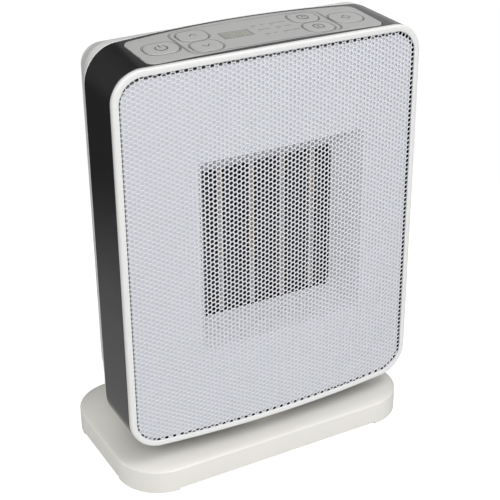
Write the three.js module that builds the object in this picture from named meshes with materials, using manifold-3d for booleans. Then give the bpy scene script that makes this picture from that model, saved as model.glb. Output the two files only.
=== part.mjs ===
// Oscillating ceramic fan heater: a bowed head that swivels on a flat base.
// Millimetres, +Z up, the front faces -Y, origin on the floor under the swivel axis.

import * as THREE from 'three';
import { mergeVertices } from 'three/addons/utils/BufferGeometryUtils.js';
import Module from 'manifold-3d';

const wasm = await Module();
wasm.setup();

// ---------------------------------------------------------------- driving dimensions

const GAP = 0.3;                 // air between pieces that touch
const WALL = 2.5;                // moulded wall

const FRONT_WIDTH = 233;         // front frame
const FRONT_HEIGHT = 278.6;      // at the sides; the pillow adds to it
const FRONT_RADIUS = 21.3;
const FRONT_PILLOW = 2.5;        // rise of the top and bottom edges at mid width
const FRONT_BOW = 5.8;           // forward bow of the front at mid width
const FRONT_Y = -57.3;           // plane of the front's side edges
const FRAME_DEPTH = 3.9;
const FRAME_LIP = 4.4;
const FRAME_WALL = 2.2;
const LIP_THICKNESS = 0.9;

const REAR_WIDTH = 231;          // casing's rear edge
const REAR_HEIGHT = 284.4;
const REAR_RADIUS = 24;
const REAR_PILLOW = 2.8;
const REAR_BOW = 9.2;
const REAR_Y = -9.6;
const SHOULDER = { halfWidth: 111.5, halfHeight: 142.6, radius: 20, y: 2 };  // rear shell's widest loop

const HEAD_Z = 178;              // height of the head's middle
const BACK_Y = 43;               // flat back of the head

const GRILLE_SETBACK = 1.4;
const GRILLE_THICKNESS = 0.7;
const DUCT_PLATE = 1.8;
const PLATE_INSET = 5.8;          // duct plate inside the front outline
const WINDOW_Z = 181.3;          // middle of the outlet and of the fan
const MOUTH = { x: 5.8, y: -60, z: 177.3, half: [65, 71] };  // outlet at the backing plate
const THROAT_HALF = [51, 55.5];  // outlet at the heating element
const THROAT_Y = -47.3;

const PTC_BACK_Y = -18;
const PTC_PITCH = 24.2;
const PTC_BAR_WIDTH = 4;

const FAN_RING_RADIUS = 56;
const FAN_RADIUS = 53;
const FAN_BLADES = 7;
const MOTOR_RADIUS = 20;

const BASE_WIDTH = 238;
const BASE_DEPTH = 134;
const BASE_RADIUS = 34;
const BASE_SKIRT_Z = 2.1;        // lower edge between the corner feet
const BASE_FOOT_Z = 0.3;         // corner feet; the pads stand below them
const BASE_CREASE_Z = 18;
const PEDESTAL_TOP_Z = 31.2;
const GLIDE_TOP_Z = 32.4;        // top of the ring the head turns on
const PEDESTAL_RADIUS = 43;
const PAD_RADIUS = 9;
const PAD_X = 99;
const PAD_Y = 47;

const HUB_RADIUS = 24;
const FLANGE_RADIUS = 34;
const SEAT_RADIUS = 38;          // casing's round seat on the glide ring
const SEAT_TOP_Z = 40.4;
const GEAR_MODULE = 1;
const GEAR_TEETH = 56;
const PINION_TEETH = 12;
const GEAR_BOTTOM_Z = 19;
const GEAR_TOP_Z = 24.5;
const MESH_DISTANCE = GEAR_MODULE * (GEAR_TEETH + PINION_TEETH) / 2;

const PANEL_HALF_WIDTH = 88.6;
const PANEL_FRONT_Y = -54;
const PANEL_FRONT_BOW = 0.8;
const PANEL_REAR_Y = -10.2;
const PANEL_REAR_BOW = 7;
const PANEL_RADIUS = 6;
const PANEL_PROUD = 0.4;
const PANEL_THICKNESS = 2.6;
const KEY_PROUD = 0.9;
const KEY_DEPTH = 3.0;
const KEY_CLEARANCE = 0.35;
const KEYS = {
  key_power: { x: -70.3, y: -32.5, w: 22.6, d: 19, r: 7.5 },
  key_up: { x: -42.4, y: -21.3, w: 20.2, d: 17.4, r: 6.5 },
  key_down: { x: -42.4, y: -42.3, w: 20.2, d: 17.4, r: 6.5 },
  key_timer: { x: 42.4, y: -21.3, w: 20.2, d: 17.4, r: 6.5 },
  key_mode: { x: 42.4, y: -42.3, w: 20.2, d: 17.4, r: 6.5 },
  key_swing: { x: 70.3, y: -32.5, w: 22.6, d: 19, r: 7.5 },
};
const DISPLAY = { x: -14.8, y: -30.9, w: 21.2, d: 12.8, r: 1 };
const BOARD_PIVOT_Z = 320.5;
const BOARD_TILT = 3.3;          // degrees, the slope of the top
const REAR_SCREW_X = 82;
const REAR_SCREW_Z = 112;
const TILT_X = 44;               // tip-over switch
const TILT_Y = -28;
const TILT_PIVOT_Z = 69.5;
const BASE_SCREW_X = 66;
const BASE_SCREW_Y = 48;

// ---------------------------------------------------------------- materials

function finish(color, roughness, metalness = 0) {
  return new THREE.MeshStandardMaterial({ color, roughness, metalness });
}

const whiteGloss = finish(0xe9e8e4, 0.35);
const whiteGrille = finish(0xd6d8dd, 0.5);
const blackGloss = finish(0x1b1b1c, 0.2);
const shellGrey = finish(0xd9dad8, 0.45);
const panelGrey = finish(0xb0b0ae, 0.5);
const keyGrey = finish(0xb6b6b4, 0.5);
const lensDark = finish(0x9a9b93, 0.25);
const darkPlastic = finish(0x2b2b2d, 0.6);
const aluminium = finish(0xb9bbbd, 0.4, 0.9);
const finMetal = finish(0x4a4b4d, 0.5, 0.8);
const steel = finish(0xa9abad, 0.35, 0.9);
const rubber = finish(0x303030, 0.9);
const acetal = finish(0xe8e6df, 0.5);
const boardGreen = finish(0x2f5d3a, 0.6);

// ---------------------------------------------------------------- solids

function solid(geometry) {
  geometry.deleteAttribute('normal');
  geometry.deleteAttribute('uv');
  const merged = mergeVertices(geometry, 1e-4);
  const corners = merged.index.array;
  return new wasm.Manifold(new wasm.Mesh({
    numProp: 3,
    vertProperties: new Float32Array(merged.attributes.position.array),
    triVerts: new Uint32Array(corners),
  }));
}

function geometryOf(body) {
  const data = body.getMesh();
  const geometry = new THREE.BufferGeometry();
  geometry.setAttribute('position', new THREE.BufferAttribute(new Float32Array(data.vertProperties), 3));
  geometry.setIndex(new THREE.BufferAttribute(new Uint32Array(data.triVerts), 1));
  return geometry;
}

const head = new THREE.Group();
const base = new THREE.Group();

function piece(group, name, body, material) {
  const made = new THREE.Mesh(geometryOf(body), material);
  made.name = name;
  group.add(made);
}

function box(x, y, z, width, depth, height) {
  return solid(new THREE.BoxGeometry(width, depth, height).translate(x, y, z));
}

function cylinderZ(x, y, low, high, radius, sides = 24) {
  const geometry = new THREE.CylinderGeometry(radius, radius, high - low, sides);
  return solid(geometry.rotateX(Math.PI / 2).translate(x, y, (low + high) / 2));
}

function cylinderY(x, z, front, back, radius, sides = 24) {
  const geometry = new THREE.CylinderGeometry(radius, radius, back - front, sides);
  return solid(geometry.translate(x, (front + back) / 2, z));
}

// Turns a profile of [radius, height] pairs about the vertical through (x, y).
function turned(profile, x = 0, y = 0, sides = 36) {
  const points = profile.map(([r, h]) => new THREE.Vector2(r, h));
  points.push(points[0].clone());
  const made = solid(new THREE.LatheGeometry(points, sides).rotateX(Math.PI / 2).translate(x, y, 0));
  return made;
}

function ringZ(low, high, inner, outer, sides = 36) {
  return cylinderZ(0, 0, low, high, outer, sides).subtract(cylinderZ(0, 0, low - 1, high + 1, inner, sides));
}

// Joins loops of equal length, each a ring of [x, y, z] points, and closes both ends.
function loft(loops) {
  const count = loops[0].length;
  const positions = loops.flat(2);
  const indices = [];
  for (let k = 0; k + 1 < loops.length; k += 1) {
    for (let i = 0; i < count; i += 1) {
      const j = (i + 1) % count;
      const a = k * count + i;
      const b = k * count + j;
      indices.push(a, b, a + count, b, b + count, a + count);
    }
  }
  const ends = [[loops[0], 0, true], [loops.at(-1), (loops.length - 1) * count, false]];
  for (const [loop, first, flip] of ends) {
    const middle = positions.length / 3;
    positions.push(...[0, 1, 2].map((axis) => loop.reduce((sum, p) => sum + p[axis], 0) / count));
    for (let i = 0; i < count; i += 1) {
      const pair = [first + i, first + (i + 1) % count];
      indices.push(middle, ...(flip ? pair.reverse() : pair));
    }
  }
  return outward(positions, indices);
}

// Makes the solid of a closed triangle list, turned inside out if its volume is negative.
function outward(positions, indices) {
  let volume = 0;
  const corner = (i) => new THREE.Vector3().fromArray(positions, 3 * i);
  for (let i = 0; i < indices.length; i += 3) {
    volume += corner(indices[i]).dot(corner(indices[i + 1]).cross(corner(indices[i + 2])));
  }
  if (volume < 0) indices.reverse();
  const geometry = new THREE.BufferGeometry();
  geometry.setAttribute('position', new THREE.Float32BufferAttribute(positions, 3));
  geometry.setIndex(indices);
  return solid(geometry);
}

// Rounded rectangle about the origin as [u, v] points; its top and bottom edges rise by the pillow.
function roundedOutline(halfWidth, halfHeight, radius, pillow = 0, arcSteps = 5, edgeSteps = 6) {
  const points = [];
  const quarters = [[1, 1, 0], [-1, 1, 90], [-1, -1, 180], [1, -1, 270]];
  for (const [sx, sy, start] of quarters) {
    for (let i = 0; i <= arcSteps; i += 1) {
      const angle = THREE.MathUtils.degToRad(start + 90 * i / arcSteps);
      points.push([sx * (halfWidth - radius) + radius * Math.cos(angle),
        sy * (halfHeight - radius) + radius * Math.sin(angle)]);
    }
    if (sx === sy) {
      const end = points.at(-1);
      for (let i = 1; i < edgeSteps; i += 1) points.push([end[0] * (1 - 2 * i / edgeSteps), end[1]]);
    }
  }
  return points.map(([u, v]) => {
    const rise = pillow * (1 - (u / halfWidth) ** 2) * Math.min(1, Math.abs(v) / halfHeight);
    return [u, v + Math.sign(v) * rise];
  });
}

const frontBow = (x) => FRONT_Y - FRONT_BOW * (1 - (2 * x / FRONT_WIDTH) ** 2);
const rearBow = (x) => REAR_Y + REAR_BOW * (1 - (2 * x / REAR_WIDTH) ** 2);

// Head outline at the front, shrunk by an inset, at a distance behind the bowed front face.
function frontLoop(inset, behind) {
  const outline = roundedOutline(FRONT_WIDTH / 2 - inset, FRONT_HEIGHT / 2 - inset,
    Math.max(FRONT_RADIUS - inset, 3), FRONT_PILLOW);
  return outline.map(([x, z]) => [x, frontBow(x) + behind, z + HEAD_Z]);
}

// Head outline at the casing's rear edge, shrunk by an inset, at a distance behind that edge.
function rearLoop(inset, behind) {
  const outline = roundedOutline(REAR_WIDTH / 2 - inset, REAR_HEIGHT / 2 - inset,
    Math.max(REAR_RADIUS - inset, 3), REAR_PILLOW);
  return outline.map(([x, z]) => [x, rearBow(x) + behind, z + HEAD_Z]);
}

// The casing's outer form, grown or shrunk by an inset and made longer at each end.
function sleeve(inset, overrun = 0) {
  const loops = [frontLoop(inset, FRAME_DEPTH + GAP), rearLoop(inset, 0)];
  if (overrun > 0) {
    loops.unshift(frontLoop(inset, FRAME_DEPTH + GAP - overrun));
    loops.push(rearLoop(inset, overrun));
  }
  return loft(loops);
}

// Slab that follows the front's bow, between two distances behind it.
function bowedSlab(near, far) {
  const half = FRONT_WIDTH / 2 + 5;
  const steps = 14;
  const stations = Array.from({ length: steps + 1 }, (_, i) => half * (2 * i / steps - 1));
  const shape = new THREE.Shape();
  stations.forEach((x, i) => shape[i ? 'lineTo' : 'moveTo'](x, frontBow(x) + near));
  [...stations].reverse().forEach((x) => shape.lineTo(x, frontBow(x) + far));
  const height = FRONT_HEIGHT + 40;
  const geometry = new THREE.ExtrudeGeometry(shape, { depth: height, bevelEnabled: false });
  return solid(geometry.translate(0, 0, HEAD_Z - height / 2));
}

// Straight prism of the front outline.
function frontPrism(inset) {
  const outline = roundedOutline(FRONT_WIDTH / 2 - inset, FRONT_HEIGHT / 2 - inset,
    FRONT_RADIUS - inset, FRONT_PILLOW);
  return loft([-90, 0].map((y) => outline.map(([x, z]) => [x, y, z + HEAD_Z])));
}

// Outlet passage as a solid, from a depth in front to the throat, grown by a margin.
function funnel(front, grow) {
  const corners = [[1, 1], [-1, 1], [-1, -1], [1, -1]];
  const loop = (y) => {
    const t = (y - THROAT_Y) / (MOUTH.y - THROAT_Y);
    const [x, z] = [MOUTH.x * t, THREE.MathUtils.lerp(WINDOW_Z, MOUTH.z, t)];
    const [w, h] = [0, 1].map((i) => THREE.MathUtils.lerp(THROAT_HALF[i], MOUTH.half[i], t) + grow);
    return corners.map(([sx, sz]) => [x + sx * w, y, z + sz * h]);
  };
  return loft([loop(front), loop(THROAT_Y)]);
}

// Upright prism of a rounded rectangle in plan.
function planPrism({ x, y, w, d, r }, grow, low, high) {
  const outline = roundedOutline(w / 2 + grow, d / 2 + grow, r + grow, 0, 4, 1);
  return loft([low, high].map((z) => outline.map(([u, v]) => [x + u, y + v, z])));
}

// ---------------------------------------------------------------- base

// Rounded rectangle of the base at a height, drawn in by an inset.
function baseLoop(inset, z, radius = Math.max(BASE_RADIUS - inset, 6)) {
  return roundedOutline(BASE_WIDTH / 2 - inset, BASE_DEPTH / 2 - inset, radius, 0, 6, 1)
    .map(([x, y]) => [x, y, z]);
}

const CROWN = [[0, 0], [0.4, 0.9], [1.6, 1.7], [8, 3.2], [18, 4.8], [30, 5.9], [44, 6.4]];

function baseForm(inset, drop, bottom) {
  const loops = [baseLoop(inset, bottom)];
  for (const [inward, rise] of CROWN) loops.push(baseLoop(inset + inward, BASE_CREASE_Z + rise - drop));
  return loft(loops);
}

// Turntable pedestal, shrunk by an inset.
function pedestalForm(inset) {
  const r = PEDESTAL_RADIUS - inset;
  const top = PEDESTAL_TOP_Z - inset;
  return turned([[0, 15], [r + 5, 15], [r + 5, 23.5 - inset], [r + 1.5, 25.5 - inset], [r, top - 1], [r - 1, top],
    [0, top]]);
}

const padPlaces = [['front_left', -1, -1], ['front_right', 1, -1], ['rear_left', -1, 1], ['rear_right', 1, 1]];

function makeBaseCover() {
  const pedestal = pedestalForm(0);
  const under = pedestalForm(WALL);
  let cover = baseForm(0, 0, BASE_FOOT_Z).add(pedestal);
  const hollow = baseForm(WALL, WALL, -1).add(under);
  const feet = padPlaces.map(([, sx, sy]) => cylinderZ(sx * PAD_X, sy * PAD_Y, BASE_FOOT_Z, 5, 17));
  const bosses = padPlaces.map(([, sx, sy]) =>
    cylinderZ(sx * BASE_SCREW_X, sy * BASE_SCREW_Y, 5.4, 22, 4.5, 16));
  const inside = baseForm(1, 1, BASE_FOOT_Z);
  cover = cover.subtract(hollow);
  for (const added of [...feet, ...bosses]) cover = cover.add(added.intersect(inside));
  const straightX = BASE_WIDTH - 2 * BASE_RADIUS;
  const straightY = BASE_DEPTH - 2 * BASE_RADIUS;
  cover = cover.subtract(box(0, 0, BASE_SKIRT_Z / 2 - 1, straightX, BASE_DEPTH + 4, BASE_SKIRT_Z + 2));
  cover = cover.subtract(box(0, 0, BASE_SKIRT_Z / 2 - 1, BASE_WIDTH + 4, straightY, BASE_SKIRT_Z + 2));
  for (const [, sx, sy] of padPlaces) {
    cover = cover.subtract(cylinderZ(sx * PAD_X, sy * PAD_Y, -1, 2.4, PAD_RADIUS + GAP));
    cover = cover.subtract(cylinderZ(sx * BASE_SCREW_X, sy * BASE_SCREW_Y, 4, 14, 2.1, 12));
  }
  cover = cover.subtract(cylinderZ(0, 0, 20, 40, HUB_RADIUS + 0.6, 36));
  cover = cover.subtract(cylinderY(70, 11, BASE_DEPTH / 2 - 1.9, BASE_DEPTH / 2 + 2, 7.5, 20));
  cover = cover.subtract(cylinderY(70, 11, BASE_DEPTH / 2 - 9, BASE_DEPTH / 2 + 2, 5, 20));
  return cover;
}

function makeBasePlate() {
  let plate = loft([baseLoop(WALL + GAP, 2.6), baseLoop(WALL + GAP, 5)]);
  for (const [, sx, sy] of padPlaces) {
    plate = plate.subtract(cylinderZ(sx * PAD_X, sy * PAD_Y, 1, 8, 17 + GAP));
    plate = plate.subtract(cylinderZ(sx * BASE_SCREW_X, sy * BASE_SCREW_Y, 1, 8, 2.1, 12));
    plate = plate.subtract(cylinderZ(sx * BASE_SCREW_X, sy * BASE_SCREW_Y, 1, 3.9, 4, 12));
  }
  return plate;
}

// Screw with its axis along +Z: head below, shank above.
function screwZ(x, y, headBottom, headHeight, length) {
  const head = cylinderZ(x, y, headBottom, headBottom + headHeight, 3.6, 12);
  return head.add(cylinderZ(x, y, headBottom + headHeight / 2, headBottom + length, 1.7, 12));
}

function makeCordInlet() {
  const back = BASE_DEPTH / 2;
  const flange = cylinderY(70, 11, back - 1.6, back, 7.2, 20);
  const body = cylinderY(70, 11, back - 8, back - 1, 4.7, 20);
  return flange.add(body).subtract(cylinderY(70, 11, back - 3, back + 1, 3.4, 16));
}

// ---------------------------------------------------------------- swivel drive

// Involute gear section as [x, y] points; teeth only inside the sector, a plain rim elsewhere.
function gearOutline(teeth, thinning, sectorDegrees = 360) {
  const pitch = GEAR_MODULE * teeth / 2;
  const baseRadius = pitch * Math.cos(THREE.MathUtils.degToRad(20));
  const root = pitch - 1.25 * GEAR_MODULE;
  const tip = pitch + 0.95 * GEAR_MODULE;
  const roll = (radius) => {
    const t = Math.sqrt(Math.max((radius / baseRadius) ** 2 - 1, 0));
    return t - Math.atan(t);
  };
  const halfTooth = (radius) =>
    Math.PI / (2 * teeth) + roll(pitch) - roll(Math.max(radius, baseRadius)) - thinning / pitch;
  const flank = [root, Math.max(root + 0.3, baseRadius), pitch, tip];
  const points = [];
  const at = (radius, angle) => points.push([radius * Math.cos(angle), radius * Math.sin(angle)]);
  for (let i = 0; i < teeth; i += 1) {
    const middle = 2 * Math.PI * i / teeth;
    const turnedBy = Math.abs(THREE.MathUtils.euclideanModulo(middle + Math.PI, 2 * Math.PI) - Math.PI);
    if (THREE.MathUtils.radToDeg(turnedBy) <= sectorDegrees / 2) {
      flank.forEach((radius) => at(radius, middle - halfTooth(radius)));
      [...flank].reverse().forEach((radius) => at(radius, middle + halfTooth(radius)));
    } else if (i % 2 === 0) {
      at(root, middle);
    }
  }
  return points;
}

function gear(outline, low, high, bore, turnBy = 0, x = 0) {
  const shape = new THREE.Shape(outline.map(([u, v]) => new THREE.Vector2(u, v)));
  const geometry = new THREE.ExtrudeGeometry(shape, { depth: high - low, bevelEnabled: false });
  const body = solid(geometry.rotateZ(turnBy).translate(x, 0, low));
  return body.subtract(cylinderZ(x, 0, low - 1, high + 1, bore, bore > 10 ? 36 : 12));
}

function makeSwivelMotor() {
  const can = cylinderZ(MESH_DISTANCE + 8, 0, 5.4, 17.6, 22, 28);
  const ears = box(MESH_DISTANCE + 8, 0, 6.4, 12, 56, 2);
  const shaft = cylinderZ(MESH_DISTANCE, 0, 17, 24.8, 1.9, 12);
  return can.add(ears).add(shaft);
}

function makeSwivelHub() {
  const tube = ringZ(18.7, SEAT_TOP_Z + 3, 18, HUB_RADIUS);
  const flange = ringZ(SEAT_TOP_Z + GAP, SEAT_TOP_Z + 3, 18, FLANGE_RADIUS);
  return tube.add(flange);
}

// ---------------------------------------------------------------- head shells

function makeFrontFrame() {
  const outer = loft([frontLoop(0.7, 0), frontLoop(0, 0.8), frontLoop(0, FRAME_DEPTH)]);
  const opening = loft([frontLoop(FRAME_LIP, -4), frontLoop(FRAME_LIP, FRAME_DEPTH + 4)]);
  const pocket = loft([frontLoop(FRAME_WALL, LIP_THICKNESS), frontLoop(FRAME_WALL, FRAME_DEPTH + 4)]);
  return outer.subtract(opening).subtract(pocket);
}

function makeFrontGrille() {
  const sheet = bowedSlab(GRILLE_SETBACK, GRILLE_SETBACK + GRILLE_THICKNESS);
  return sheet.intersect(frontPrism(FRAME_WALL + 0.5));
}

function makeAirDuct() {
  const near = GRILLE_SETBACK + GRILLE_THICKNESS + 0.4;
  const plate = bowedSlab(near, near + DUCT_PLATE).intersect(frontPrism(PLATE_INSET));
  const shell = funnel(MOUTH.y, 1.8);
  const throat = box(0, THROAT_Y, WINDOW_Z, 2 * THROAT_HALF[0], 3, 2 * THROAT_HALF[1]);
  const passage = funnel(MOUTH.y - 4, 0).add(throat);
  return plate.add(shell).subtract(bowedSlab(near - 12, near)).subtract(passage);
}

function panelOutline(grow) {
  const shape = [];
  const half = PANEL_HALF_WIDTH + grow;
  const crown = (x) => 1 - (x / half) ** 2;
  const edge = (x, side) => side > 0 ? PANEL_REAR_Y + grow + PANEL_REAR_BOW * crown(x)
    : PANEL_FRONT_Y - grow - PANEL_FRONT_BOW * crown(x);
  for (const [sx, sy, start] of [[1, -1, 270], [1, 1, 0], [-1, 1, 90], [-1, -1, 180]]) {
    for (let i = 0; i <= 4; i += 1) {
      const angle = THREE.MathUtils.degToRad(start + 90 * i / 4);
      const x = sx * (half - PANEL_RADIUS) + PANEL_RADIUS * Math.cos(angle);
      shape.push([x, edge(x, sy) + PANEL_RADIUS * (Math.sin(angle) - sy)]);
    }
    for (let i = 1; sx === sy && i < 6; i += 1) {
      const x = sx * (half - PANEL_RADIUS) * (1 - i / 3);
      shape.push([x, edge(x, sy)]);
    }
  }
  return shape;
}

function panelPrism(grow) {
  return loft([300, 335].map((z) => panelOutline(grow).map(([x, y]) => [x, y, z])));
}

// Skin that follows the sloping top, from above it to below it.
function topSkin(above, below) {
  return sleeve(-above, 1).subtract(sleeve(below, 6)).intersect(box(0, -25, 330, 260, 90, 60));
}

function makeCasing() {
  let casing = sleeve(0).subtract(sleeve(WALL, 5));
  const seat = turned([[0, GLIDE_TOP_Z + GAP], [SEAT_RADIUS, GLIDE_TOP_Z + GAP],
    [SEAT_RADIUS, SEAT_TOP_Z + 4], [FLANGE_RADIUS + GAP, SEAT_TOP_Z + 4], [FLANGE_RADIUS + GAP, SEAT_TOP_Z],
    [0, SEAT_TOP_Z]]);
  casing = casing.add(seat).subtract(cylinderZ(0, 0, 30, 45, HUB_RADIUS + 0.4, 36));
  casing = casing.subtract(panelPrism(0.5));
  for (const sx of [-1, 1]) {
    for (const sz of [-1, 1]) {
      const z = HEAD_Z + sz * REAR_SCREW_Z;
      const wallX = REAR_WIDTH / 2 - 1.2;
      const rib = box(sx * (REAR_SCREW_X + wallX) / 2, -17, z, wallX - REAR_SCREW_X, 14, 3);
      casing = casing.add(rib).add(cylinderY(sx * REAR_SCREW_X, z, -24, -10, 4.5, 16));
      casing = casing.subtract(cylinderY(sx * REAR_SCREW_X, z, -30, -9, 2.1, 12));
    }
  }
  return casing;
}

function shellLoop(halfWidth, halfHeight, radius, pillow, y) {
  return roundedOutline(halfWidth, halfHeight, radius, pillow)
    .map(([x, z]) => [x, y(x), z + HEAD_Z]);
}

// Rear shell's outer form, shrunk by an inset: out to a squarer shoulder, then a tub that tapers to the back.
function rearForm(inset, frontExtra, back) {
  const { halfWidth, halfHeight, radius, y } = SHOULDER;
  const tub = (w, h, pillow, depth) => shellLoop(w - inset, h - inset, 15 - inset, pillow,
    () => THREE.MathUtils.lerp(y, back, depth));
  return loft([
    rearLoop(inset, GAP - frontExtra), shellLoop(halfWidth - inset, halfHeight - inset, radius - inset, 0, () => y),
    tub(99.5, 131, 1.4, 0.84), tub(98, 129.5, 1, 0.96), tub(94.5, 126, 0.6, 1),
  ]);
}

const GRIP = { z: 279, width: 112, height: 24, depth: 22, front: BACK_Y - 22 };
const INTAKE = { half: [66, 62] };

function makeRearShell() {
  let shell = rearForm(0, 0, BACK_Y).subtract(rearForm(WALL, 8, BACK_Y - WALL));
  shell = shell.add(box(0, BACK_Y - GRIP.depth / 2 - 1.5, GRIP.z, GRIP.width + 5, GRIP.depth + 1, GRIP.height + 5));
  shell = shell.subtract(box(0, BACK_Y - GRIP.depth / 2 + 2, GRIP.z, GRIP.width, GRIP.depth + 4, GRIP.height));
  const [iw, ih] = INTAKE.half;
  shell = shell.add(box(0, BACK_Y - 4.5, WINDOW_Z, 2 * iw + 4, 6, 2 * ih + 4));
  shell = shell.subtract(box(0, BACK_Y - 4, WINDOW_Z, 2 * iw, 20, 2 * ih));
  shell = shell.subtract(cylinderZ(0, 0, 20, SEAT_TOP_Z + 4.3, SEAT_RADIUS + GAP, 36));
  for (const sx of [-1, 1]) {
    for (const sz of [-1, 1]) {
      const x = sx * REAR_SCREW_X;
      const z = HEAD_Z + sz * REAR_SCREW_Z;
      shell = shell.add(cylinderY(x, z, -9.6, BACK_Y - 1, 5.2, 16));
      shell = shell.subtract(cylinderY(x, z, -12, BACK_Y + 2, 2.1, 12));
      shell = shell.subtract(cylinderY(x, z, BACK_Y - 5, BACK_Y + 2, 4, 16));
    }
  }
  return shell;
}

function rearScrew(x, z) {
  const head = cylinderY(x, z, BACK_Y - 4.7, BACK_Y - 2.2, 3.6, 12);
  return head.add(cylinderY(x, z, -20, BACK_Y - 3, 1.7, 12));
}

function makeFilterCover() {
  const [w, h] = [INTAKE.half[0] - GAP, INTAKE.half[1] - GAP];
  let cover = box(0, BACK_Y - 1.25, WINDOW_Z, 2 * w, 2.5, 2 * h);
  const frame = box(0, BACK_Y - 3.75, WINDOW_Z, 2 * w, 5, 2 * h)
    .subtract(box(0, BACK_Y - 6, WINDOW_Z, 2 * w - 5, 7, 2 * h - 5));
  cover = cover.add(frame);
  const slots = 13;
  const pitch = (2 * h - 10) / slots;
  for (let i = 0; i < slots; i += 1) {
    const z = WINDOW_Z - h + 5 + pitch * (i + 0.5);
    for (const side of [-1, 1]) {
      cover = cover.subtract(box(side * (w / 2 - 0.5), BACK_Y - 1, z, w - 9, 8, pitch * 0.55));
    }
  }
  return cover;
}

function makeFilterMesh() {
  const [w, h] = [INTAKE.half[0] - 3.2, INTAKE.half[1] - 3.2];
  return box(0, BACK_Y - 4.2, WINDOW_Z, 2 * w, 1.2, 2 * h);
}

// ---------------------------------------------------------------- heating element and fan

function makePtcFrame() {
  const [w, h] = THROAT_HALF;
  const y = (THROAT_Y + GAP + PTC_BACK_Y) / 2;
  const depth = PTC_BACK_Y - THROAT_Y - GAP;
  const outer = box(0, y, WINDOW_Z, 2 * w + 12, depth, 2 * h + 12);
  return outer.subtract(box(0, y, WINDOW_Z, 2 * w + 0.6, depth + 4, 2 * h + 0.6));
}

function ptcBar(i) {
  return box((i - 1.5) * PTC_PITCH, -33.5, WINDOW_Z, PTC_BAR_WIDTH, 24, 2 * THROAT_HALF[1]);
}

function finPack(i) {
  const inner = (k) => (k - 1.5) * PTC_PITCH;
  const left = i === 0 ? -THROAT_HALF[0] : inner(i - 1) + PTC_BAR_WIDTH / 2 + GAP;
  const right = i === 4 ? THROAT_HALF[0] : inner(i) - PTC_BAR_WIDTH / 2 - GAP;
  return box((left + right) / 2, -32.5, WINDOW_Z, right - left, 20, 2 * THROAT_HALF[1] - 3);
}

function makeThermalCutout() {
  const top = WINDOW_Z + THROAT_HALF[1] + 6 + GAP;
  const can = cylinderZ(28, -32, top, top + 6, 8, 20);
  return can.add(box(28, -32, top + 7, 12, 3, 4));
}

function makeFanShroud() {
  const [w, h] = [THROAT_HALF[0] + 6, THROAT_HALF[1] + 6];
  const duct = box(0, -11.8, WINDOW_Z, 2 * w, 11.6, 2 * h)
    .subtract(box(0, -14, WINDOW_Z, 2 * w - 4, 12, 2 * h - 4));
  const ears = box(0, -7, WINDOW_Z + 45, 190, 2, 14).add(box(0, -7, WINDOW_Z - 45, 190, 2, 14));
  const ring = cylinderY(0, WINDOW_Z, -8, 16, FAN_RING_RADIUS + 0.9, 40);
  let shroud = duct.add(ears).add(ring).subtract(cylinderY(0, WINDOW_Z, -10, 20, FAN_RING_RADIUS - 1, 40));
  for (let i = 0; i < 3; i += 1) {
    const angle = Math.PI / 2 + 2 * Math.PI * i / 3;
    const arm = new THREE.BoxGeometry(FAN_RING_RADIUS - MOTOR_RADIUS - 1, 3, 6)
      .translate((FAN_RING_RADIUS + MOTOR_RADIUS) / 2, 14.5, 0).rotateY(-angle).translate(0, 0, WINDOW_Z);
    shroud = shroud.add(solid(arm));
  }
  const collar = cylinderY(0, WINDOW_Z, 13, 20, MOTOR_RADIUS + 2.4, 28)
    .subtract(cylinderY(0, WINDOW_Z, 11, 24, MOTOR_RADIUS + GAP, 28));
  return shroud.add(collar);
}

function makeFanMotor() {
  const can = cylinderY(0, WINDOW_Z, 13.4, 33, MOTOR_RADIUS, 28);
  return can.subtract(cylinderY(0, WINDOW_Z, 12, 22, 2, 12));
}

function makeFanImpeller() {
  let fan = cylinderY(0, WINDOW_Z, -4, 11, 17, 28).subtract(cylinderY(0, WINDOW_Z, -6, 13, 1.8, 12));
  for (let i = 0; i < FAN_BLADES; i += 1) fan = fan.add(blade(2 * Math.PI * i / FAN_BLADES));
  return fan;
}

// One twisted blade from the hub to the tip, its pitch falling with the radius.
function blade(angle) {
  const sections = 5;
  const loops = [];
  for (let k = 0; k < sections; k += 1) {
    const along = k / (sections - 1);
    const radius = THREE.MathUtils.lerp(15, FAN_RADIUS, along);
    const pitch = THREE.MathUtils.degToRad(THREE.MathUtils.lerp(48, 26, along));
    const chord = THREE.MathUtils.lerp(13, 25, along);
    const sweep = 0.25 * along;
    const half = chord / 2;
    const thick = 0.8;
    const section = [[-half, -thick], [half, -thick], [half, thick], [-half, thick]];
    loops.push(section.map(([u, v]) => {
      const across = u * Math.cos(pitch) - v * Math.sin(pitch);
      const y = 3.5 + u * Math.sin(pitch) * 0.62 + v * Math.cos(pitch);
      const turn = angle + sweep + across / radius;
      return [radius * Math.cos(turn), y, WINDOW_Z + radius * Math.sin(turn)];
    }));
  }
  return loft(loops);
}

// ---------------------------------------------------------------- controls

function makeControlPanel() {
  let panel = topSkin(PANEL_PROUD, PANEL_THICKNESS).intersect(panelPrism(0));
  for (const key of Object.values(KEYS)) panel = panel.subtract(planPrism(key, KEY_CLEARANCE, 300, 335));
  return panel.subtract(planPrism(DISPLAY, GAP, 300, 335));
}

function makeKey(place) {
  return topSkin(KEY_PROUD, KEY_DEPTH).intersect(planPrism(place, 0, 300, 335));
}

function makeDisplayLens() {
  return topSkin(PANEL_PROUD - 0.1, 1.4).intersect(planPrism(DISPLAY, 0, 300, 335));
}

// Part of the board stack that lies parallel to the sloping top.
function tilted(x, width, depth, height, below) {
  const geometry = new THREE.BoxGeometry(width, depth, height);
  geometry.translate(x, 0, -below - height / 2).rotateX(THREE.MathUtils.degToRad(BOARD_TILT));
  return solid(geometry.translate(0, DISPLAY.y, BOARD_PIVOT_Z));
}

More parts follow.
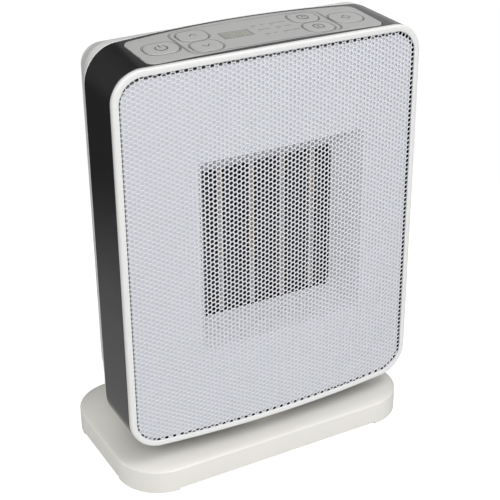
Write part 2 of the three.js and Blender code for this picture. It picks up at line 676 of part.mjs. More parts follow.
function makePowerBoard() {
  let board = box(0, 18, 82, 120, 1.6, 58);
  board = board.add(box(-38, 11.5, 84, 24, 12, 20));
  board = board.add(box(-5, 12, 92, 18, 11, 16));
  board = board.add(box(30, 13, 84, 14, 9, 34));
  board = board.add(cylinderY(-8, 68, 6, 18, 7, 16));
  return board;
}

function makeTiltSwitch() {
  const body = box(TILT_X, TILT_Y, 62, 26, 20, 28).subtract(box(TILT_X, TILT_Y - 2, 60, 20, 20, 26));
  return body.subtract(cylinderY(TILT_X, TILT_PIVOT_Z, TILT_Y + 6, TILT_Y + 12, 1.5, 10));
}

function makeTiltPendulum() {
  const pin = cylinderY(TILT_X, TILT_PIVOT_Z, TILT_Y - 8, TILT_Y + 9.4, 1.1, 10);
  const arm = box(TILT_X, TILT_Y + 1, TILT_PIVOT_Z - 6, 2.4, 5, 12);
  return pin.add(arm).add(cylinderY(TILT_X, TILT_PIVOT_Z - 12.5, TILT_Y - 4, TILT_Y + 6, 5.5, 18));
}

// ---------------------------------------------------------------- assembly

function assembleBase() {
  piece(base, 'base_cover', makeBaseCover(), whiteGloss);
  piece(base, 'base_plate', makeBasePlate(), shellGrey);
  for (const [name, sx, sy] of padPlaces) {
    piece(base, `foot_pad_${name}`, cylinderZ(sx * PAD_X, sy * PAD_Y, 0, 2.1, PAD_RADIUS), rubber);
    piece(base, `base_screw_${name}`, screwZ(sx * BASE_SCREW_X, sy * BASE_SCREW_Y, 1.7, 1.9, 11), steel);
  }
  piece(base, 'glide_ring', ringZ(PEDESTAL_TOP_Z + GAP, GLIDE_TOP_Z, 28, SEAT_RADIUS - 0.5), acetal);
  piece(base, 'cord_inlet', makeCordInlet(), shellGrey);
  piece(base, 'swivel_motor', makeSwivelMotor(), steel);
}

function assembleSwivel() {
  const halfToothOfPinion = Math.PI / PINION_TEETH;
  const pinion = gearOutline(PINION_TEETH, 0.12);
  piece(base, 'swivel_pinion', gear(pinion, GEAR_BOTTOM_Z, GEAR_TOP_Z, 2.2, Math.PI + halfToothOfPinion,
    MESH_DISTANCE), acetal);
  piece(head, 'swivel_gear', gear(gearOutline(GEAR_TEETH, 0.12, 96), GEAR_BOTTOM_Z, GEAR_TOP_Z,
    HUB_RADIUS + GAP), acetal);
  piece(head, 'swivel_hub', makeSwivelHub(), shellGrey);
  piece(head, 'hub_retainer', ringZ(26, 28.3, HUB_RADIUS + GAP, 31), steel);
}

function assembleShells() {
  piece(head, 'front_frame', makeFrontFrame(), whiteGloss);
  piece(head, 'front_grille', makeFrontGrille(), whiteGrille);
  piece(head, 'air_duct', makeAirDuct(), whiteGloss);
  piece(head, 'casing', makeCasing(), blackGloss);
  piece(head, 'rear_shell', makeRearShell(), shellGrey);
  piece(head, 'filter_cover', makeFilterCover(), shellGrey);
  piece(head, 'filter_mesh', makeFilterMesh(), darkPlastic);
  for (const [name, sx, sz] of [['top_left', -1, 1], ['top_right', 1, 1], ['low_left', -1, -1],
    ['low_right', 1, -1]]) {
    piece(head, `rear_screw_${name}`, rearScrew(sx * REAR_SCREW_X, HEAD_Z + sz * REAR_SCREW_Z), steel);
  }
}

function assembleHeater() {
  piece(head, 'ptc_frame', makePtcFrame(), darkPlastic);
  for (let i = 0; i < 4; i += 1) piece(head, `ptc_bar_${i + 1}`, ptcBar(i), aluminium);
  for (let i = 0; i < 5; i += 1) piece(head, `fin_pack_${i + 1}`, finPack(i), finMetal);
  piece(head, 'thermal_cutout', makeThermalCutout(), steel);
  piece(head, 'fan_shroud', makeFanShroud(), darkPlastic);
  piece(head, 'fan_motor', makeFanMotor(), steel);
  piece(head, 'fan_impeller', makeFanImpeller(), darkPlastic);
  piece(head, 'fan_shaft', cylinderY(0, WINDOW_Z, -4.5, 21.5, 1.5, 12), steel);
  piece(head, 'power_board', makePowerBoard(), boardGreen);
  piece(head, 'tilt_switch', makeTiltSwitch(), darkPlastic);
  piece(head, 'tilt_pendulum', makeTiltPendulum(), steel);
}

function assembleControls() {
  piece(head, 'control_panel', makeControlPanel(), panelGrey);
  for (const [name, place] of Object.entries(KEYS)) piece(head, name, makeKey(place), keyGrey);
  piece(head, 'display_lens', makeDisplayLens(), lensDark);
  piece(head, 'display_module', tilted(DISPLAY.x, 24, 16, 2.1, 3.3), darkPlastic);
  piece(head, 'control_board', tilted(0, 166, 36, 1.6, 5.8), boardGreen);
}

assembleBase();
assembleSwivel();
assembleShells();
assembleHeater();
assembleControls();

const heater = new THREE.Group();
heater.add(base, head);

export default heater;
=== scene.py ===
"""Oscillating ceramic heater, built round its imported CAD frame.

Lengths are in millimetres until a mesh is made. Lights and camera are in metres.
"""

import math

import bmesh
import bpy
import numpy as np
from mathutils import Matrix, Vector
from mathutils.geometry import delaunay_2d_cdt

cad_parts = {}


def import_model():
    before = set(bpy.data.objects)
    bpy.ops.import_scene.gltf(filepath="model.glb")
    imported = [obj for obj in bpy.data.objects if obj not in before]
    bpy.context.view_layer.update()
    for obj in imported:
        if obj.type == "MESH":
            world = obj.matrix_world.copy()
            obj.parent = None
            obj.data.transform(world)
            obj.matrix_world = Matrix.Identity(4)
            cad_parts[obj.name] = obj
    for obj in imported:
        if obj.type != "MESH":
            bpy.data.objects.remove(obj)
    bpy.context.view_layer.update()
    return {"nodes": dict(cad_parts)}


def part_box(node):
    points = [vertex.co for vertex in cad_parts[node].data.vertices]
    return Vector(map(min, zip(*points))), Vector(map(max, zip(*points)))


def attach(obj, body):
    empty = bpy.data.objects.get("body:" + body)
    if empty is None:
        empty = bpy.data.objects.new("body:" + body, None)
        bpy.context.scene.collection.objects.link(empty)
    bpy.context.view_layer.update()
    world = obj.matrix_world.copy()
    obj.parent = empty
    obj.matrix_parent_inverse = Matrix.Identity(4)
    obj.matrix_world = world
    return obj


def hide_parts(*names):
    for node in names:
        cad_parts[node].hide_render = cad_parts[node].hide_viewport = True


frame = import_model()

MM = 0.001
GAP = 0.3

# ---------------- dimensions, as in the CAD

FRONT_WIDTH_HALF = 116.5
FRONT_HALF = 139.3
FRONT_RADIUS = 21.3
FRONT_PILLOW = 2.5
FRONT_BOW = 5.8
FRONT_Y = -57.3
FRAME_DEPTH = 3.9
FRAME_LIP = 4.4
FRAME_WALL = 1.6
LIP_THICKNESS = 0.9

REAR_WIDTH_HALF = 115.5
REAR_HALF = 142.2
REAR_RADIUS = 24.0
REAR_PILLOW = 2.8
REAR_BOW = 9.2
REAR_Y = -9.6
SHOULDER_HALF = (110.8, 142.6)
SHOULDER_RADIUS = 20.0
SHOULDER_Y = 2.0
TUB_HALF = (98.7, 131.0)   # at the start of the rounded rim of the back
TUB_RADIUS = 15.0
TUB_RIM_SHARE = 0.84       # where that rim starts, from the shoulder to the back
TUB_RIM_RADIUS = 5.0
HEAD_Z = 178.0
BACK_Y = 43.0
WALL = 2.5

GRILLE_SETBACK = 1.4
GRILLE_THICKNESS = 0.5
PLATE_INSET = 5.8
PLATE_DROP = (0.6, 1.3)
MOUTH = (5.8, -60.0, 177.3)
MOUTH_HALF = (65.0, 71.0)
THROAT_HALF = (51.0, 55.5)
DUCT_WALL = 1.8
HOLE_PITCH = 3.47
HOLE_RADIUS = 1.45
HOLE_SIDES = 12
FOLD_PITCH = 1.5           # of the heating element's corrugated strips

PANEL_HALF = 88.6
PANEL_FRONT_Y = -54.0
PANEL_FRONT_BOW = 0.8
PANEL_REAR_Y = -10.8
PANEL_REAR_BOW = 7.0
PANEL_RADIUS = 6.0
PANEL_PROUD = 0.4
PANEL_THICKNESS = 2.2
KEY_PROUD = 0.9
KEY_GAP = 0.5
KEY_SKIRT = 3.0
SYMBOL_SCALE = 1.35
SYMBOL_LINE = 0.85
MARK_LAYER = 0.08
DIGIT_INK = 0.06
MARK_LAYER_PROUD = 0.02
GROOVE_CENTRE = (0.3, -31.4)
GROOVE_HALF = (56.9, 21.3)
GROOVE_RADIUS = 8.0
GROOVE_BOW = 0.9

BASE_HALF = (119.0, 67.0)
BASE_RADIUS = 34.0
BASE_FOOT_Z = 0.3
BASE_SKIRT_Z = 2.1
PEDESTAL_TOP_Z = 31.2
GLIDE_TOP_Z = 32.4
PEDESTAL_RADIUS = 43.0
HUB_RADIUS = 24.0
SOLE_RADIUS = 17.0         # of the lowered round feet under the corners
SEAT_RADIUS = 38.0
SEAT_TOP_Z = 40.4

GRIP_Z = 279.0
GRIP_HALF = (56.0, 12.0)
GRIP_DEPTH = 22.0
SCREW_X, SCREW_Z = 82.0, 112.0
FILTER_SLOT_ROWS = 13
NET_CELLS = (40, 38)


def span(node):
    """A CAD node's lowest and highest corner, in millimetres."""
    low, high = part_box(node)
    return np.array(low) / MM, np.array(high) / MM


def middle(node):
    low, high = span(node)
    return (low + high) / 2


# ---------------- node materials


def shader_node(tree, kind, **values):
    """A new shader node; an underscore in an input's name stands for a space."""
    made = tree.nodes.new("ShaderNode" + kind)
    for socket, value in values.items():
        made.inputs[socket.replace("_", " ")].default_value = value
    return made


def wire(tree, *rows):
    """Links nodes by rows of (node, output, node, input)."""
    for source, output, target, socket in rows:
        tree.links.new(source.outputs[output], target.inputs[socket])


def material(name, colour, roughness, metallic=0.0, grain=900.0, depth=0.02, mottle=0.04, wear=0.06):
    """A moulded or metal finish: fine grain in the bump, and slow drifts of tone and roughness."""
    made = bpy.data.materials.new(name)
    made.use_nodes = True
    tree = made.node_tree
    shader = shader_of(made)
    shader.inputs["Metallic"].default_value = metallic
    place = shader_node(tree, "TexCoord")
    slow = shader_node(tree, "TexNoise", Scale=35.0, Detail=4.0)
    fine = shader_node(tree, "TexNoise", Scale=grain, Detail=3.0)
    wire(tree, (place, "Object", slow, "Vector"), (place, "Object", fine, "Vector"))
    tone = shader_node(tree, "Mix")
    tone.data_type = "RGBA"
    light, dark = [tuple(min(1.0, c * k) for c in colour) + (1,) for k in (1 + mottle / 2, 1 - mottle / 2)]
    tone.inputs["A"].default_value = light
    tone.inputs["B"].default_value = dark
    wire(tree, (slow, "Fac", tone, "Factor"), (tone, "Result", shader, "Base Color"))
    rough = shader_node(tree, "MapRange", To_Min=max(0.02, roughness - wear), To_Max=min(1.0, roughness + wear))
    wire(tree, (slow, "Fac", rough, "Value"), (rough, "Result", shader, "Roughness"))
    bump = shader_node(tree, "Bump", Strength=0.35, Distance=depth * MM)
    wire(tree, (fine, "Fac", bump, "Height"), (bump, "Normal", shader, "Normal"))
    return made


def shader_of(made):
    return made.node_tree.nodes["Principled BSDF"]


def brushed(name, colour, roughness, stretch):
    """Drawn metal: the grain is stretched along one axis."""
    made = material(name, colour, roughness, 1.0, 700.0, 0.015, 0.1)
    tree = made.node_tree
    mapping = shader_node(tree, "Mapping", Scale=stretch)
    place = next(n for n in tree.nodes if n.type == "TEX_COORD")
    wire(tree, (place, "Object", mapping, "Vector"))
    for noise in [n for n in tree.nodes if n.type == "TEX_NOISE"]:
        wire(tree, (mapping, "Vector", noise, "Vector"))
    return made


def patchy(made, other):
    """Lets a second colour show through a finish in soft patches."""
    tree = made.node_tree
    tone = next(n for n in tree.nodes if n.type == "MIX")
    slow = tone.inputs["Factor"].links[0].from_node
    tone.inputs["B"].default_value = other + (1,)
    patch = shader_node(tree, "MapRange", From_Min=0.48, From_Max=0.62)
    wire(tree, (slow, "Fac", patch, "Value"), (patch, "Result", tone, "Factor"))
    return made


FRAME_WHITE = material("frame_white", (0.79, 0.79, 0.782), 0.33, grain=700, depth=0.012, mottle=0.02)
BASE_WHITE = material("base_white", (0.78, 0.765, 0.715), 0.24, grain=600, depth=0.012, mottle=0.03)
GRILLE_WHITE = material("grille_white", (0.74, 0.75, 0.785), 0.5, grain=1500, depth=0.02, mottle=0.03)
DUCT_WHITE = material("duct_white", (0.66, 0.67, 0.71), 0.6, grain=900, depth=0.02)
CASING_BLACK = material("casing_black", (0.012, 0.012, 0.013), 0.2, grain=500, depth=0.006, mottle=0.2,
                        wear=0.03)
SHELL_GREY = material("shell_grey", (0.72, 0.725, 0.71), 0.42, grain=1400, depth=0.03, mottle=0.03)
PANEL_GREY = material("panel_grey", (0.44, 0.442, 0.436), 0.42, grain=1600, depth=0.02, mottle=0.04)
KEY_GREY = material("key_grey", (0.45, 0.452, 0.446), 0.4, grain=1600, depth=0.02, mottle=0.04)
MARK_GREY = material("mark_grey", (0.075, 0.075, 0.073), 0.5, grain=2000, depth=0.01)
LENS_GREY = material("lens_grey", (0.29, 0.29, 0.265), 0.18, grain=400, depth=0.004, mottle=0.05,
                     wear=0.03)
DARK_PLASTIC = material("dark_plastic", (0.02, 0.02, 0.021), 0.5, grain=1200, depth=0.03)
RUBBER = material("rubber", (0.025, 0.025, 0.025), 0.85, grain=2200, depth=0.06, mottle=0.2)
ACETAL = material("acetal", (0.72, 0.70, 0.64), 0.45, grain=800, depth=0.02)
STEEL = brushed("steel", (0.52, 0.53, 0.54), 0.35, (1.0, 1.0, 6.0))
BAR_METAL = patchy(brushed("bar_metal", (0.62, 0.61, 0.60), 0.4, (8.0, 8.0, 0.6)), (0.60, 0.43, 0.27))
FIN_METAL = brushed("fin_metal", (0.55, 0.55, 0.565), 0.45, (1.0, 6.0, 1.0))
BOARD_GREEN = material("board_green", (0.02, 0.10, 0.035), 0.35, grain=300, depth=0.03, mottle=0.3)

# ---------------- outlines and surfaces


def outline(half_u, half_v, radius, pillow=0.0, arc=12, edge=28, side=14):
    """Rounded rectangle about the origin as an (n, 2) array; its top and bottom edges rise by the pillow."""
    points = []
    for su, sv, start in ((1, 1, 0), (-1, 1, 90), (-1, -1, 180), (1, -1, 270)):
        angles = np.radians(start + 90 * np.arange(arc + 1) / arc)
        corner = np.stack([su * (half_u - radius) + radius * np.cos(angles),
                           sv * (half_v - radius) + radius * np.sin(angles)], 1)
        points.extend(corner)
        end, along = corner[-1], 0 if su == sv else 1
        steps = edge if along == 0 else side
        for i in range(1, steps):
            point = end.copy()
            point[along] *= 1 - 2 * i / steps
            points.append(point)
    points = np.array(points)
    u, v = points.T
    rise = pillow * (1 - (u / half_u) ** 2) * np.minimum(1, np.abs(v) / half_v)
    return np.stack([u, v + np.sign(v) * rise], 1)


def front_bow(x):
    return FRONT_Y - FRONT_BOW * (1 - (x / FRONT_WIDTH_HALF) ** 2)


def rear_bow(x):
    return REAR_Y + REAR_BOW * (1 - (x / REAR_WIDTH_HALF) ** 2)


def front_loop(inset, behind):
    u, v = outline(FRONT_WIDTH_HALF - inset, FRONT_HALF - inset, max(FRONT_RADIUS - inset, 3), FRONT_PILLOW).T
    return np.stack([u, front_bow(u) + behind, v + HEAD_Z], 1)


def rear_loop(inset, behind):
    u, v = outline(REAR_WIDTH_HALF - inset, REAR_HALF - inset, max(REAR_RADIUS - inset, 3), REAR_PILLOW).T
    return np.stack([u, rear_bow(u) + behind, v + HEAD_Z], 1)


def top_z(x, y):
    """Height of the casing's sloping, crowned top."""
    crown = 1 - (x / REAR_WIDTH_HALF) ** 2
    front_z = HEAD_Z + FRONT_HALF + FRONT_PILLOW * crown
    rear_z = HEAD_Z + REAR_HALF + REAR_PILLOW * crown
    front_y = front_bow(x) + FRAME_DEPTH + GAP
    along = (y - front_y) / (rear_bow(x) - front_y)
    return front_z + (rear_z - front_z) * along


# ---------------- meshes


def quads(loops, count, closed=False):
    """Faces between neighbouring loops of one length, numbered one after another."""
    faces = []
    pairs = [(k, (k + 1) % loops) for k in range(loops if closed else loops - 1)]
    for a, b in pairs:
        for i in range(count):
            j = (i + 1) % count
            faces.append((a * count + i, a * count + j, b * count + j, b * count + i))
    return faces


def linked(name, data):
    """Puts new data into the scene as an object."""
    made = bpy.data.objects.new(name, data)
    bpy.context.scene.collection.objects.link(made)
    return made


def raw_mesh(name, points, faces):
    """A mesh from millimetre points, just as given."""
    data = bpy.data.meshes.new(name)
    data.from_pydata((np.asarray(points, float) * MM).tolist(), [], faces)
    return linked(name, data)


def mesh_object(name, points, faces, sharp=35.0):
    """A closed mesh from millimetre points: faces turned outward, smooth but for its sharp edges."""
    made = raw_mesh(name, points, faces)
    work = bmesh.new()
    work.from_mesh(made.data)
    bmesh.ops.recalc_face_normals(work, faces=work.faces)
    work.to_mesh(made.data)
    work.free()
    soften(made, sharp)
    return made


def soften(made, sharp=35.0):
    data = made.data
    data.polygons.foreach_set("use_smooth", [True] * len(data.polygons))
    data.set_sharp_from_angle(angle=math.radians(sharp))
    data.update()


def directions(angles):
    return np.stack([np.cos(angles), np.sin(angles)], 1)


def level_loop(plan, z):
    """(x, y) points at a height."""
    return np.column_stack([plan, np.full(len(plan), z)])


def upright_loop(plan, y):
    """(x, z) points at a depth, or each at its own."""
    return np.column_stack([plan[:, 0], np.full(len(plan), y), plan[:, 1]])


def ring_mesh(name, loops, sharp=35.0):
    """A closed tube of section loops, the last one joined to the first."""
    return mesh_object(name, np.concatenate(loops), quads(len(loops), len(loops[0]), closed=True), sharp)


def capped_mesh(name, loops, sharp=35.0):
    """A lofted solid whose two ends close on a middle point."""
    count = len(loops[0])
    points = list(np.concatenate(loops))
    faces = quads(len(loops), count)
    for first, loop in ((0, loops[0]), ((len(loops) - 1) * count, loops[-1])):
        points.append(loop.mean(0))
        hub = len(points) - 1
        faces.extend((first + i, first + (i + 1) % count, hub) for i in range(count))
    return mesh_object(name, points, faces, sharp)


def apply_modifier(made, kind, **settings):
    modifier = made.modifiers.new(kind.lower(), kind)
    for key, value in settings.items():
        setattr(modifier, key, value)
    bpy.context.view_layer.objects.active = made
    bpy.ops.object.modifier_apply(modifier=modifier.name)


def combine(made, *tools, operation="DIFFERENCE", sharp=35.0):
    """Cuts the tools from a piece, or joins them to it, and removes them."""
    for tool in tools:
        apply_modifier(made, "BOOLEAN", object=tool, operation=operation, solver="EXACT")
        bpy.data.objects.remove(tool)
    soften(made, sharp)
    return made


def dress(made, finish, body, slot, *nodes):
    """Gives a piece its material and its body, and hides the CAD nodes that it stands for; the slot is not
    used.
    """
    made.data.validate()
    made.data.materials.clear()
    made.data.materials.append(finish)
    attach(made, body)
    if nodes:
        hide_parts(*nodes)
    return made


def turned(name, profile, centre=(0.0, 0.0, 0.0), axis="Z", sides=96):
    """A ring or disc turned about an axis from a closed profile of (radius, height) pairs."""
    angles = 2 * np.pi * np.arange(sides) / sides
    solid = min(r for r, _ in profile) < 1e-6
    pairs = [p for p in profile if p[0] > 1e-6] if solid else profile
    loops = []
    for radius, height in pairs:
        across = radius * directions(angles)
        loop = level_loop(across, height) if axis == "Z" else upright_loop(across, height)
        loops.append(loop + np.array(centre))
    return capped_mesh(name, loops) if solid else ring_mesh(name, loops)


def block(name, low, high):
    """A plain cutting block."""
    x, y, z = zip(low, high)
    loops = [np.array([(x[0], y[0], h), (x[1], y[0], h), (x[1], y[1], h), (x[0], y[1], h)]) for h in z]
    return capped_mesh(name, loops)


def arc_points(centre, radius, start, end, steps):
    """Points of an arc between two angles in degrees."""
    angles = np.radians(np.linspace(start, end, steps + 1))
    return [(centre[0] + radius * math.cos(a), centre[1] + radius * math.sin(a)) for a in angles]


def inside(points, polygon):
    """Which of the points lie inside a closed polygon."""
    x, y = points.T
    hit = np.zeros(len(points), bool)
    for (x1, y1), (x2, y2) in zip(polygon, np.roll(polygon, -1, 0)):
        crosses = (y1 > y) != (y2 > y)
        with np.errstate(divide="ignore", invalid="ignore"):
            hit ^= crosses & (x < (x2 - x1) * (y - y1) / (y2 - y1) + x1)
    return hit


def within(points, outer, holes):
    """Which of the points lie in an outline and in none of its holes."""
    return inside(points, outer) & ~np.any([inside(points, hole) for hole in holes], 0)


def grow(polygon, by):
    """A counter-clockwise polygon pushed outward along its corner normals."""
    before, after = np.roll(polygon, 1, 0), np.roll(polygon, -1, 0)
    along = after - before
    along /= np.linalg.norm(along, axis=1)[:, None] + 1e-12
    return polygon + by * np.stack([along[:, 1], -along[:, 0]], 1)


def sheet_mesh(name, outer, holes, levels, top, bottom, place, spacing=5.0, sharp=30.0):
    """A plate with holes. levels are (polygon, drop) loops pressed into its top; place turns (u, v, height)
    rows into points; top and bottom give the two faces' heights over (u, v)."""
    loops = [(outer, levels["edge"])] + [(h, levels["hole"]) for h in holes] + levels["loops"]
    points, edges, drops = [], [], []
    for polygon, drop in loops:
        first, count = len(points), len(polygon)
        points.extend(polygon)
        drops.extend([drop] * count)
        edges.extend((first + i, first + (i + 1) % count) for i in range(count))
    low, high = outer.min(0), outer.max(0)
    u, v = np.meshgrid(np.arange(low[0], high[0], spacing), np.arange(low[1], high[1], spacing))
    seeds = np.stack([u.ravel(), v.ravel()], 1)
    bound = np.array(points)
    away = np.array([np.min(np.hypot(*(bound - s).T)) > spacing * 0.5 for s in seeds])
    seeds = seeds[away & within(seeds, outer, holes)]
    drops.extend([0.0] * len(seeds))
    points.extend(seeds)
    flat, _, faces, origin, _, _ = delaunay_2d_cdt([Vector(p) for p in points], edges, [], 0, 1e-5)
    flat = np.array([tuple(p) for p in flat])
    level = np.array([drops[o[0]] if o else 0.0 for o in origin])
    centres = np.array([flat[list(f)].mean(0) for f in faces])
    upper = [tuple(f) for f, good in zip(faces, within(centres, outer, holes)) if good]
    count = len(flat)
    above = place(np.column_stack([flat, top(*flat.T) - level]))
    below = place(np.column_stack([flat, bottom(*flat.T)]))
    lower = [tuple(i + count for i in reversed(f)) for f in upper]
    seen = dict.fromkeys((a, b) for f in upper for a, b in zip(f, f[1:] + f[:1]))
    walls = [(b, a, a + count, b + count) for a, b in seen if (b, a) not in seen]
    used = sorted({i for f in upper for i in f})
    index = {old: new for new, old in enumerate(used)}
    total = len(used)
    renumber = lambda f: tuple(index[i] if i < count else index[i - count] + total for i in f)
    both = np.concatenate([above[used], below[used]])
    return mesh_object(name, both, [renumber(f) for f in upper + lower + walls], sharp)


# ---------------- front


def front_frame():
    """White bezel: rounded outer edge, narrow lip over the grille, thin side wall."""
    section = [(0.25, FRAME_DEPTH), (0.0, FRAME_DEPTH - 0.25), (0.0, 2.4)]
    section += arc_points((1.25, 1.3), 1.25, 180, 270, 6)
    section += [(FRAME_LIP - 0.5, 0.12), (FRAME_LIP - 0.1, 0.28), (FRAME_LIP, 0.6), (FRAME_LIP, LIP_THICKNESS),
                (FRAME_WALL + 0.4, LIP_THICKNESS + 0.05), (FRAME_WALL, 1.6), (FRAME_WALL, FRAME_DEPTH)]
    made = ring_mesh("bezel", [front_loop(inset, behind) for inset, behind in section], sharp=50)
    return dress(made, FRAME_WHITE, "head", "frame_white", "front_frame")


def front_inset(points):
    """How far each (x, z) point lies inside the head's front outline, with the pillow taken off."""
    x, z = points[:, 0], points[:, 1] - HEAD_Z
    crown = FRONT_PILLOW * (1 - (x / FRONT_WIDTH_HALF) ** 2)
    flat_z = z - np.sign(z) * crown * np.minimum(1, np.abs(z) / FRONT_HALF)
    straight = FRONT_WIDTH_HALF - FRONT_RADIUS, FRONT_HALF - FRONT_RADIUS
    past = np.stack([np.abs(x) - straight[0], np.abs(flat_z) - straight[1]], 1)
    outside = np.hypot(*np.maximum(past, 0).T) + np.minimum(past.max(1), 0) - FRONT_RADIUS
    return -outside


def pull_inside(points, least):
    """Moves (x, z) points that lie too near the outline towards the middle of the head."""
    moved = points.copy()
    for _ in range(6):
        short = least - front_inset(moved)
        near = short > 1e-4
        if not near.any():
            break
        step = 0.05
        slope = np.stack([front_inset(moved[near] + [step, 0]) - front_inset(moved[near] - [step, 0]),
                          front_inset(moved[near] + [0, step]) - front_inset(moved[near] - [0, step])], 1)
        slope /= np.maximum(np.linalg.norm(slope, axis=1), 1e-9)[:, None]
        moved[near] += slope * short[near][:, None]
    return moved


def front_grille():
    """Perforated sheet: one six-sided cell round each hole, cut to the frame, bowed and given its thickness."""
    sheet_inset = FRAME_WALL + 0.4
    corner_radius = HOLE_PITCH / math.sqrt(3)
    column_pitch = 1.5 * corner_radius
    columns = int(FRONT_WIDTH_HALF / column_pitch) + 1
    rows = int(FRONT_HALF / HOLE_PITCH) + 2
    centres = np.array([(i * column_pitch, HEAD_Z + (j + 0.5 * (i % 2)) * HOLE_PITCH)
                        for i in range(-columns, columns + 1) for j in range(-rows, rows + 1)])
    inset = front_inset(centres)
    centres, inset = centres[inset > sheet_inset], inset[inset > sheet_inset]
    open_cell = inset > sheet_inset + HOLE_RADIUS + 0.1
    corners = centres[:, None] + corner_radius * directions(np.radians(60 * np.arange(6)))
    flat, lookup = np.unique(np.round(corners.reshape(-1, 2), 2), axis=0, return_inverse=True)
    lookup = lookup.reshape(-1, 6)
    flat = pull_inside(flat, sheet_inset)
    ring_angles = 2 * np.pi * np.arange(HOLE_SIDES) / HOLE_SIDES
    rings = centres[open_cell][:, None] + HOLE_RADIUS * directions(ring_angles)
    first = len(flat) + HOLE_SIDES * np.arange(len(rings))
    faces = [tuple(cell) for cell in lookup[~open_cell]]
    for cell, start in zip(lookup[open_cell], first):
        for i in range(6):
            rim = [start + k % HOLE_SIDES for k in (2 * i + 2, 2 * i + 1, 2 * i)]
            faces.append((cell[i], cell[(i + 1) % 6], *rim))
    plan = np.concatenate([flat, rings.reshape(-1, 2)])
    points = upright_loop(plan, front_bow(plan[:, 0]) + GRILLE_SETBACK)
    made = raw_mesh("grille_sheet", points, [tuple(int(i) for i in f) for f in faces])
    if made.data.polygons[0].normal.y > 0:
        made.data.flip_normals()
    apply_modifier(made, "SOLIDIFY", thickness=GRILLE_THICKNESS * MM, offset=-1.0)
    soften(made, 40)
    return dress(made, GRILLE_WHITE, "head", "grille_white", "front_grille")


def air_duct():
    """White backing plate with the funnel that leads from the heating element to the grille."""
    near = GRILLE_SETBACK + GRILLE_THICKNESS + 0.4
    outer = front_loop(PLATE_INSET, 0)[:, [0, 2]]
    outer[:, 1] -= np.where(outer[:, 1] > HEAD_Z, PLATE_DROP[1], PLATE_DROP[0])
    frame_low, frame_high = span("ptc_frame")
    throat_y = frame_low[1] - GAP
    throat = np.array([0.0, (frame_low[2] + frame_high[2]) / 2])
    throat_half, mouth_half = np.array(THROAT_HALF), np.array(MOUTH_HALF)
    mouth = np.array(MOUTH)[[0, 2]]
    reach = outer - mouth
    unit = reach / (np.abs(reach) / mouth_half).max(1)[:, None] / mouth_half

    def section(y, by):
        """Rectangle of the passage at a depth, grown by a margin."""
        share = (y - throat_y) / (MOUTH[1] - throat_y)
        half = throat_half + (mouth_half - throat_half) * share + by
        plan = throat + (mouth - throat) * share + unit * half
        return upright_loop(plan, y)

    def plate(share, behind):
        """Ring of the backing plate, at a share of the way from the mouth to its edge."""
        rim = mouth + unit * mouth_half
        flat = rim + (outer - rim) * share
        return upright_loop(flat, front_bow(flat[:, 0]) + behind)

    shares = [0.0, 0.25, 0.5, 0.75, 1.0]
    loops = [plate(s, near) for s in shares]
    loops += [plate(s, near + DUCT_WALL) for s in reversed(shares[1:])]
    loops += [section(-56.0, DUCT_WALL), section(throat_y, DUCT_WALL)]
    loops += [section(throat_y, 0.0), section(-54.0, 0.0)]
    made = ring_mesh("air_duct_moulding", loops, sharp=25)
    return dress(made, DUCT_WHITE, "head", "duct_white", "air_duct")


# ---------------- heating element


def fin_pack(index):
    """One corrugated aluminium strip folded between two heater bars."""
    node = f"fin_pack_{index}"
    low, high = span(node)
    folds = int((high[2] - low[2]) / FOLD_PITCH)
    heights = np.linspace(low[2] + 0.3, high[2] - 0.3, folds)
    sides = np.where(np.arange(folds) % 2 == 0, low[0] + 0.3, high[0] - 0.3)
    points = [(x, y, z) for x, z in zip(sides, heights) for y in (low[1], high[1])]
    faces = [(2 * i, 2 * i + 1, 2 * i + 3, 2 * i + 2) for i in range(folds - 1)]
    made = raw_mesh(f"corrugated_{index}", points, faces)
    apply_modifier(made, "SOLIDIFY", thickness=0.35 * MM, offset=0.0)
    soften(made)
    return dress(made, FIN_METAL, "head", "fins", node)


def heater_bar(index):
    """Aluminium tube that clamps the ceramic stones, its long edges rounded."""
    node = f"ptc_bar_{index}"
    low, high = span(node)
    section = outline(*((high - low)[[0, 1]] / 2), 1.2, arc=5, edge=2, side=4)
    centre = (low + high) / 2
    heights = [low[2], low[2] + 0.5, high[2] - 0.5, high[2]]
    loops = [level_loop(section * k + centre[:2], z) for z, k in zip(heights, (0.92, 1, 1, 0.92))]
    made = capped_mesh(f"heater_tube_{index}", loops)
    return dress(made, BAR_METAL, "head", "heater_bar", node)


# ---------------- casing and rear shell


def casing():
    """Black sleeve, with the opening for the panel and the round seat under it."""
    rows = 14
    loops = [front_loop(WALL, FRAME_DEPTH + GAP), front_loop(0.4, FRAME_DEPTH + GAP)]
    front, rear = front_loop(0, FRAME_DEPTH + GAP), rear_loop(0, 0)
    shares = np.concatenate([[0.008], np.linspace(0.03, 0.97, rows), [0.992]])
    loops += [front + (rear - front) * s for s in shares]
    loops += [rear_loop(0.4, 0), rear_loop(WALL, 0)]
    inner_front, inner_rear = loops[0], loops[-1]
    loops += [inner_rear + (inner_front - inner_rear) * s for s in (0.25, 0.5, 0.75)]
    made = ring_mesh("sleeve", loops)
    seat = turned("seat", [(HUB_RADIUS + 0.4, GLIDE_TOP_Z + GAP), (SEAT_RADIUS - 0.5, GLIDE_TOP_Z + GAP),
                           (SEAT_RADIUS, GLIDE_TOP_Z + 0.8), (SEAT_RADIUS, SEAT_TOP_Z + 4),
                           (34.3, SEAT_TOP_Z + 4), (34.3, SEAT_TOP_Z), (HUB_RADIUS + 0.4, SEAT_TOP_Z)])
    bore = turned("bore", [(0, 20.0), (SEAT_RADIUS - 1, 20.0), (SEAT_RADIUS - 1, 50.0), (0, 50.0)])
    combine(made, bore)
    combine(made, seat, operation="UNION")
    combine(made, prism("panel_opening", panel_outline(0.5), 300, 335), sharp=30)
    return dress(made, CASING_BLACK, "head", "casing_black", "casing")


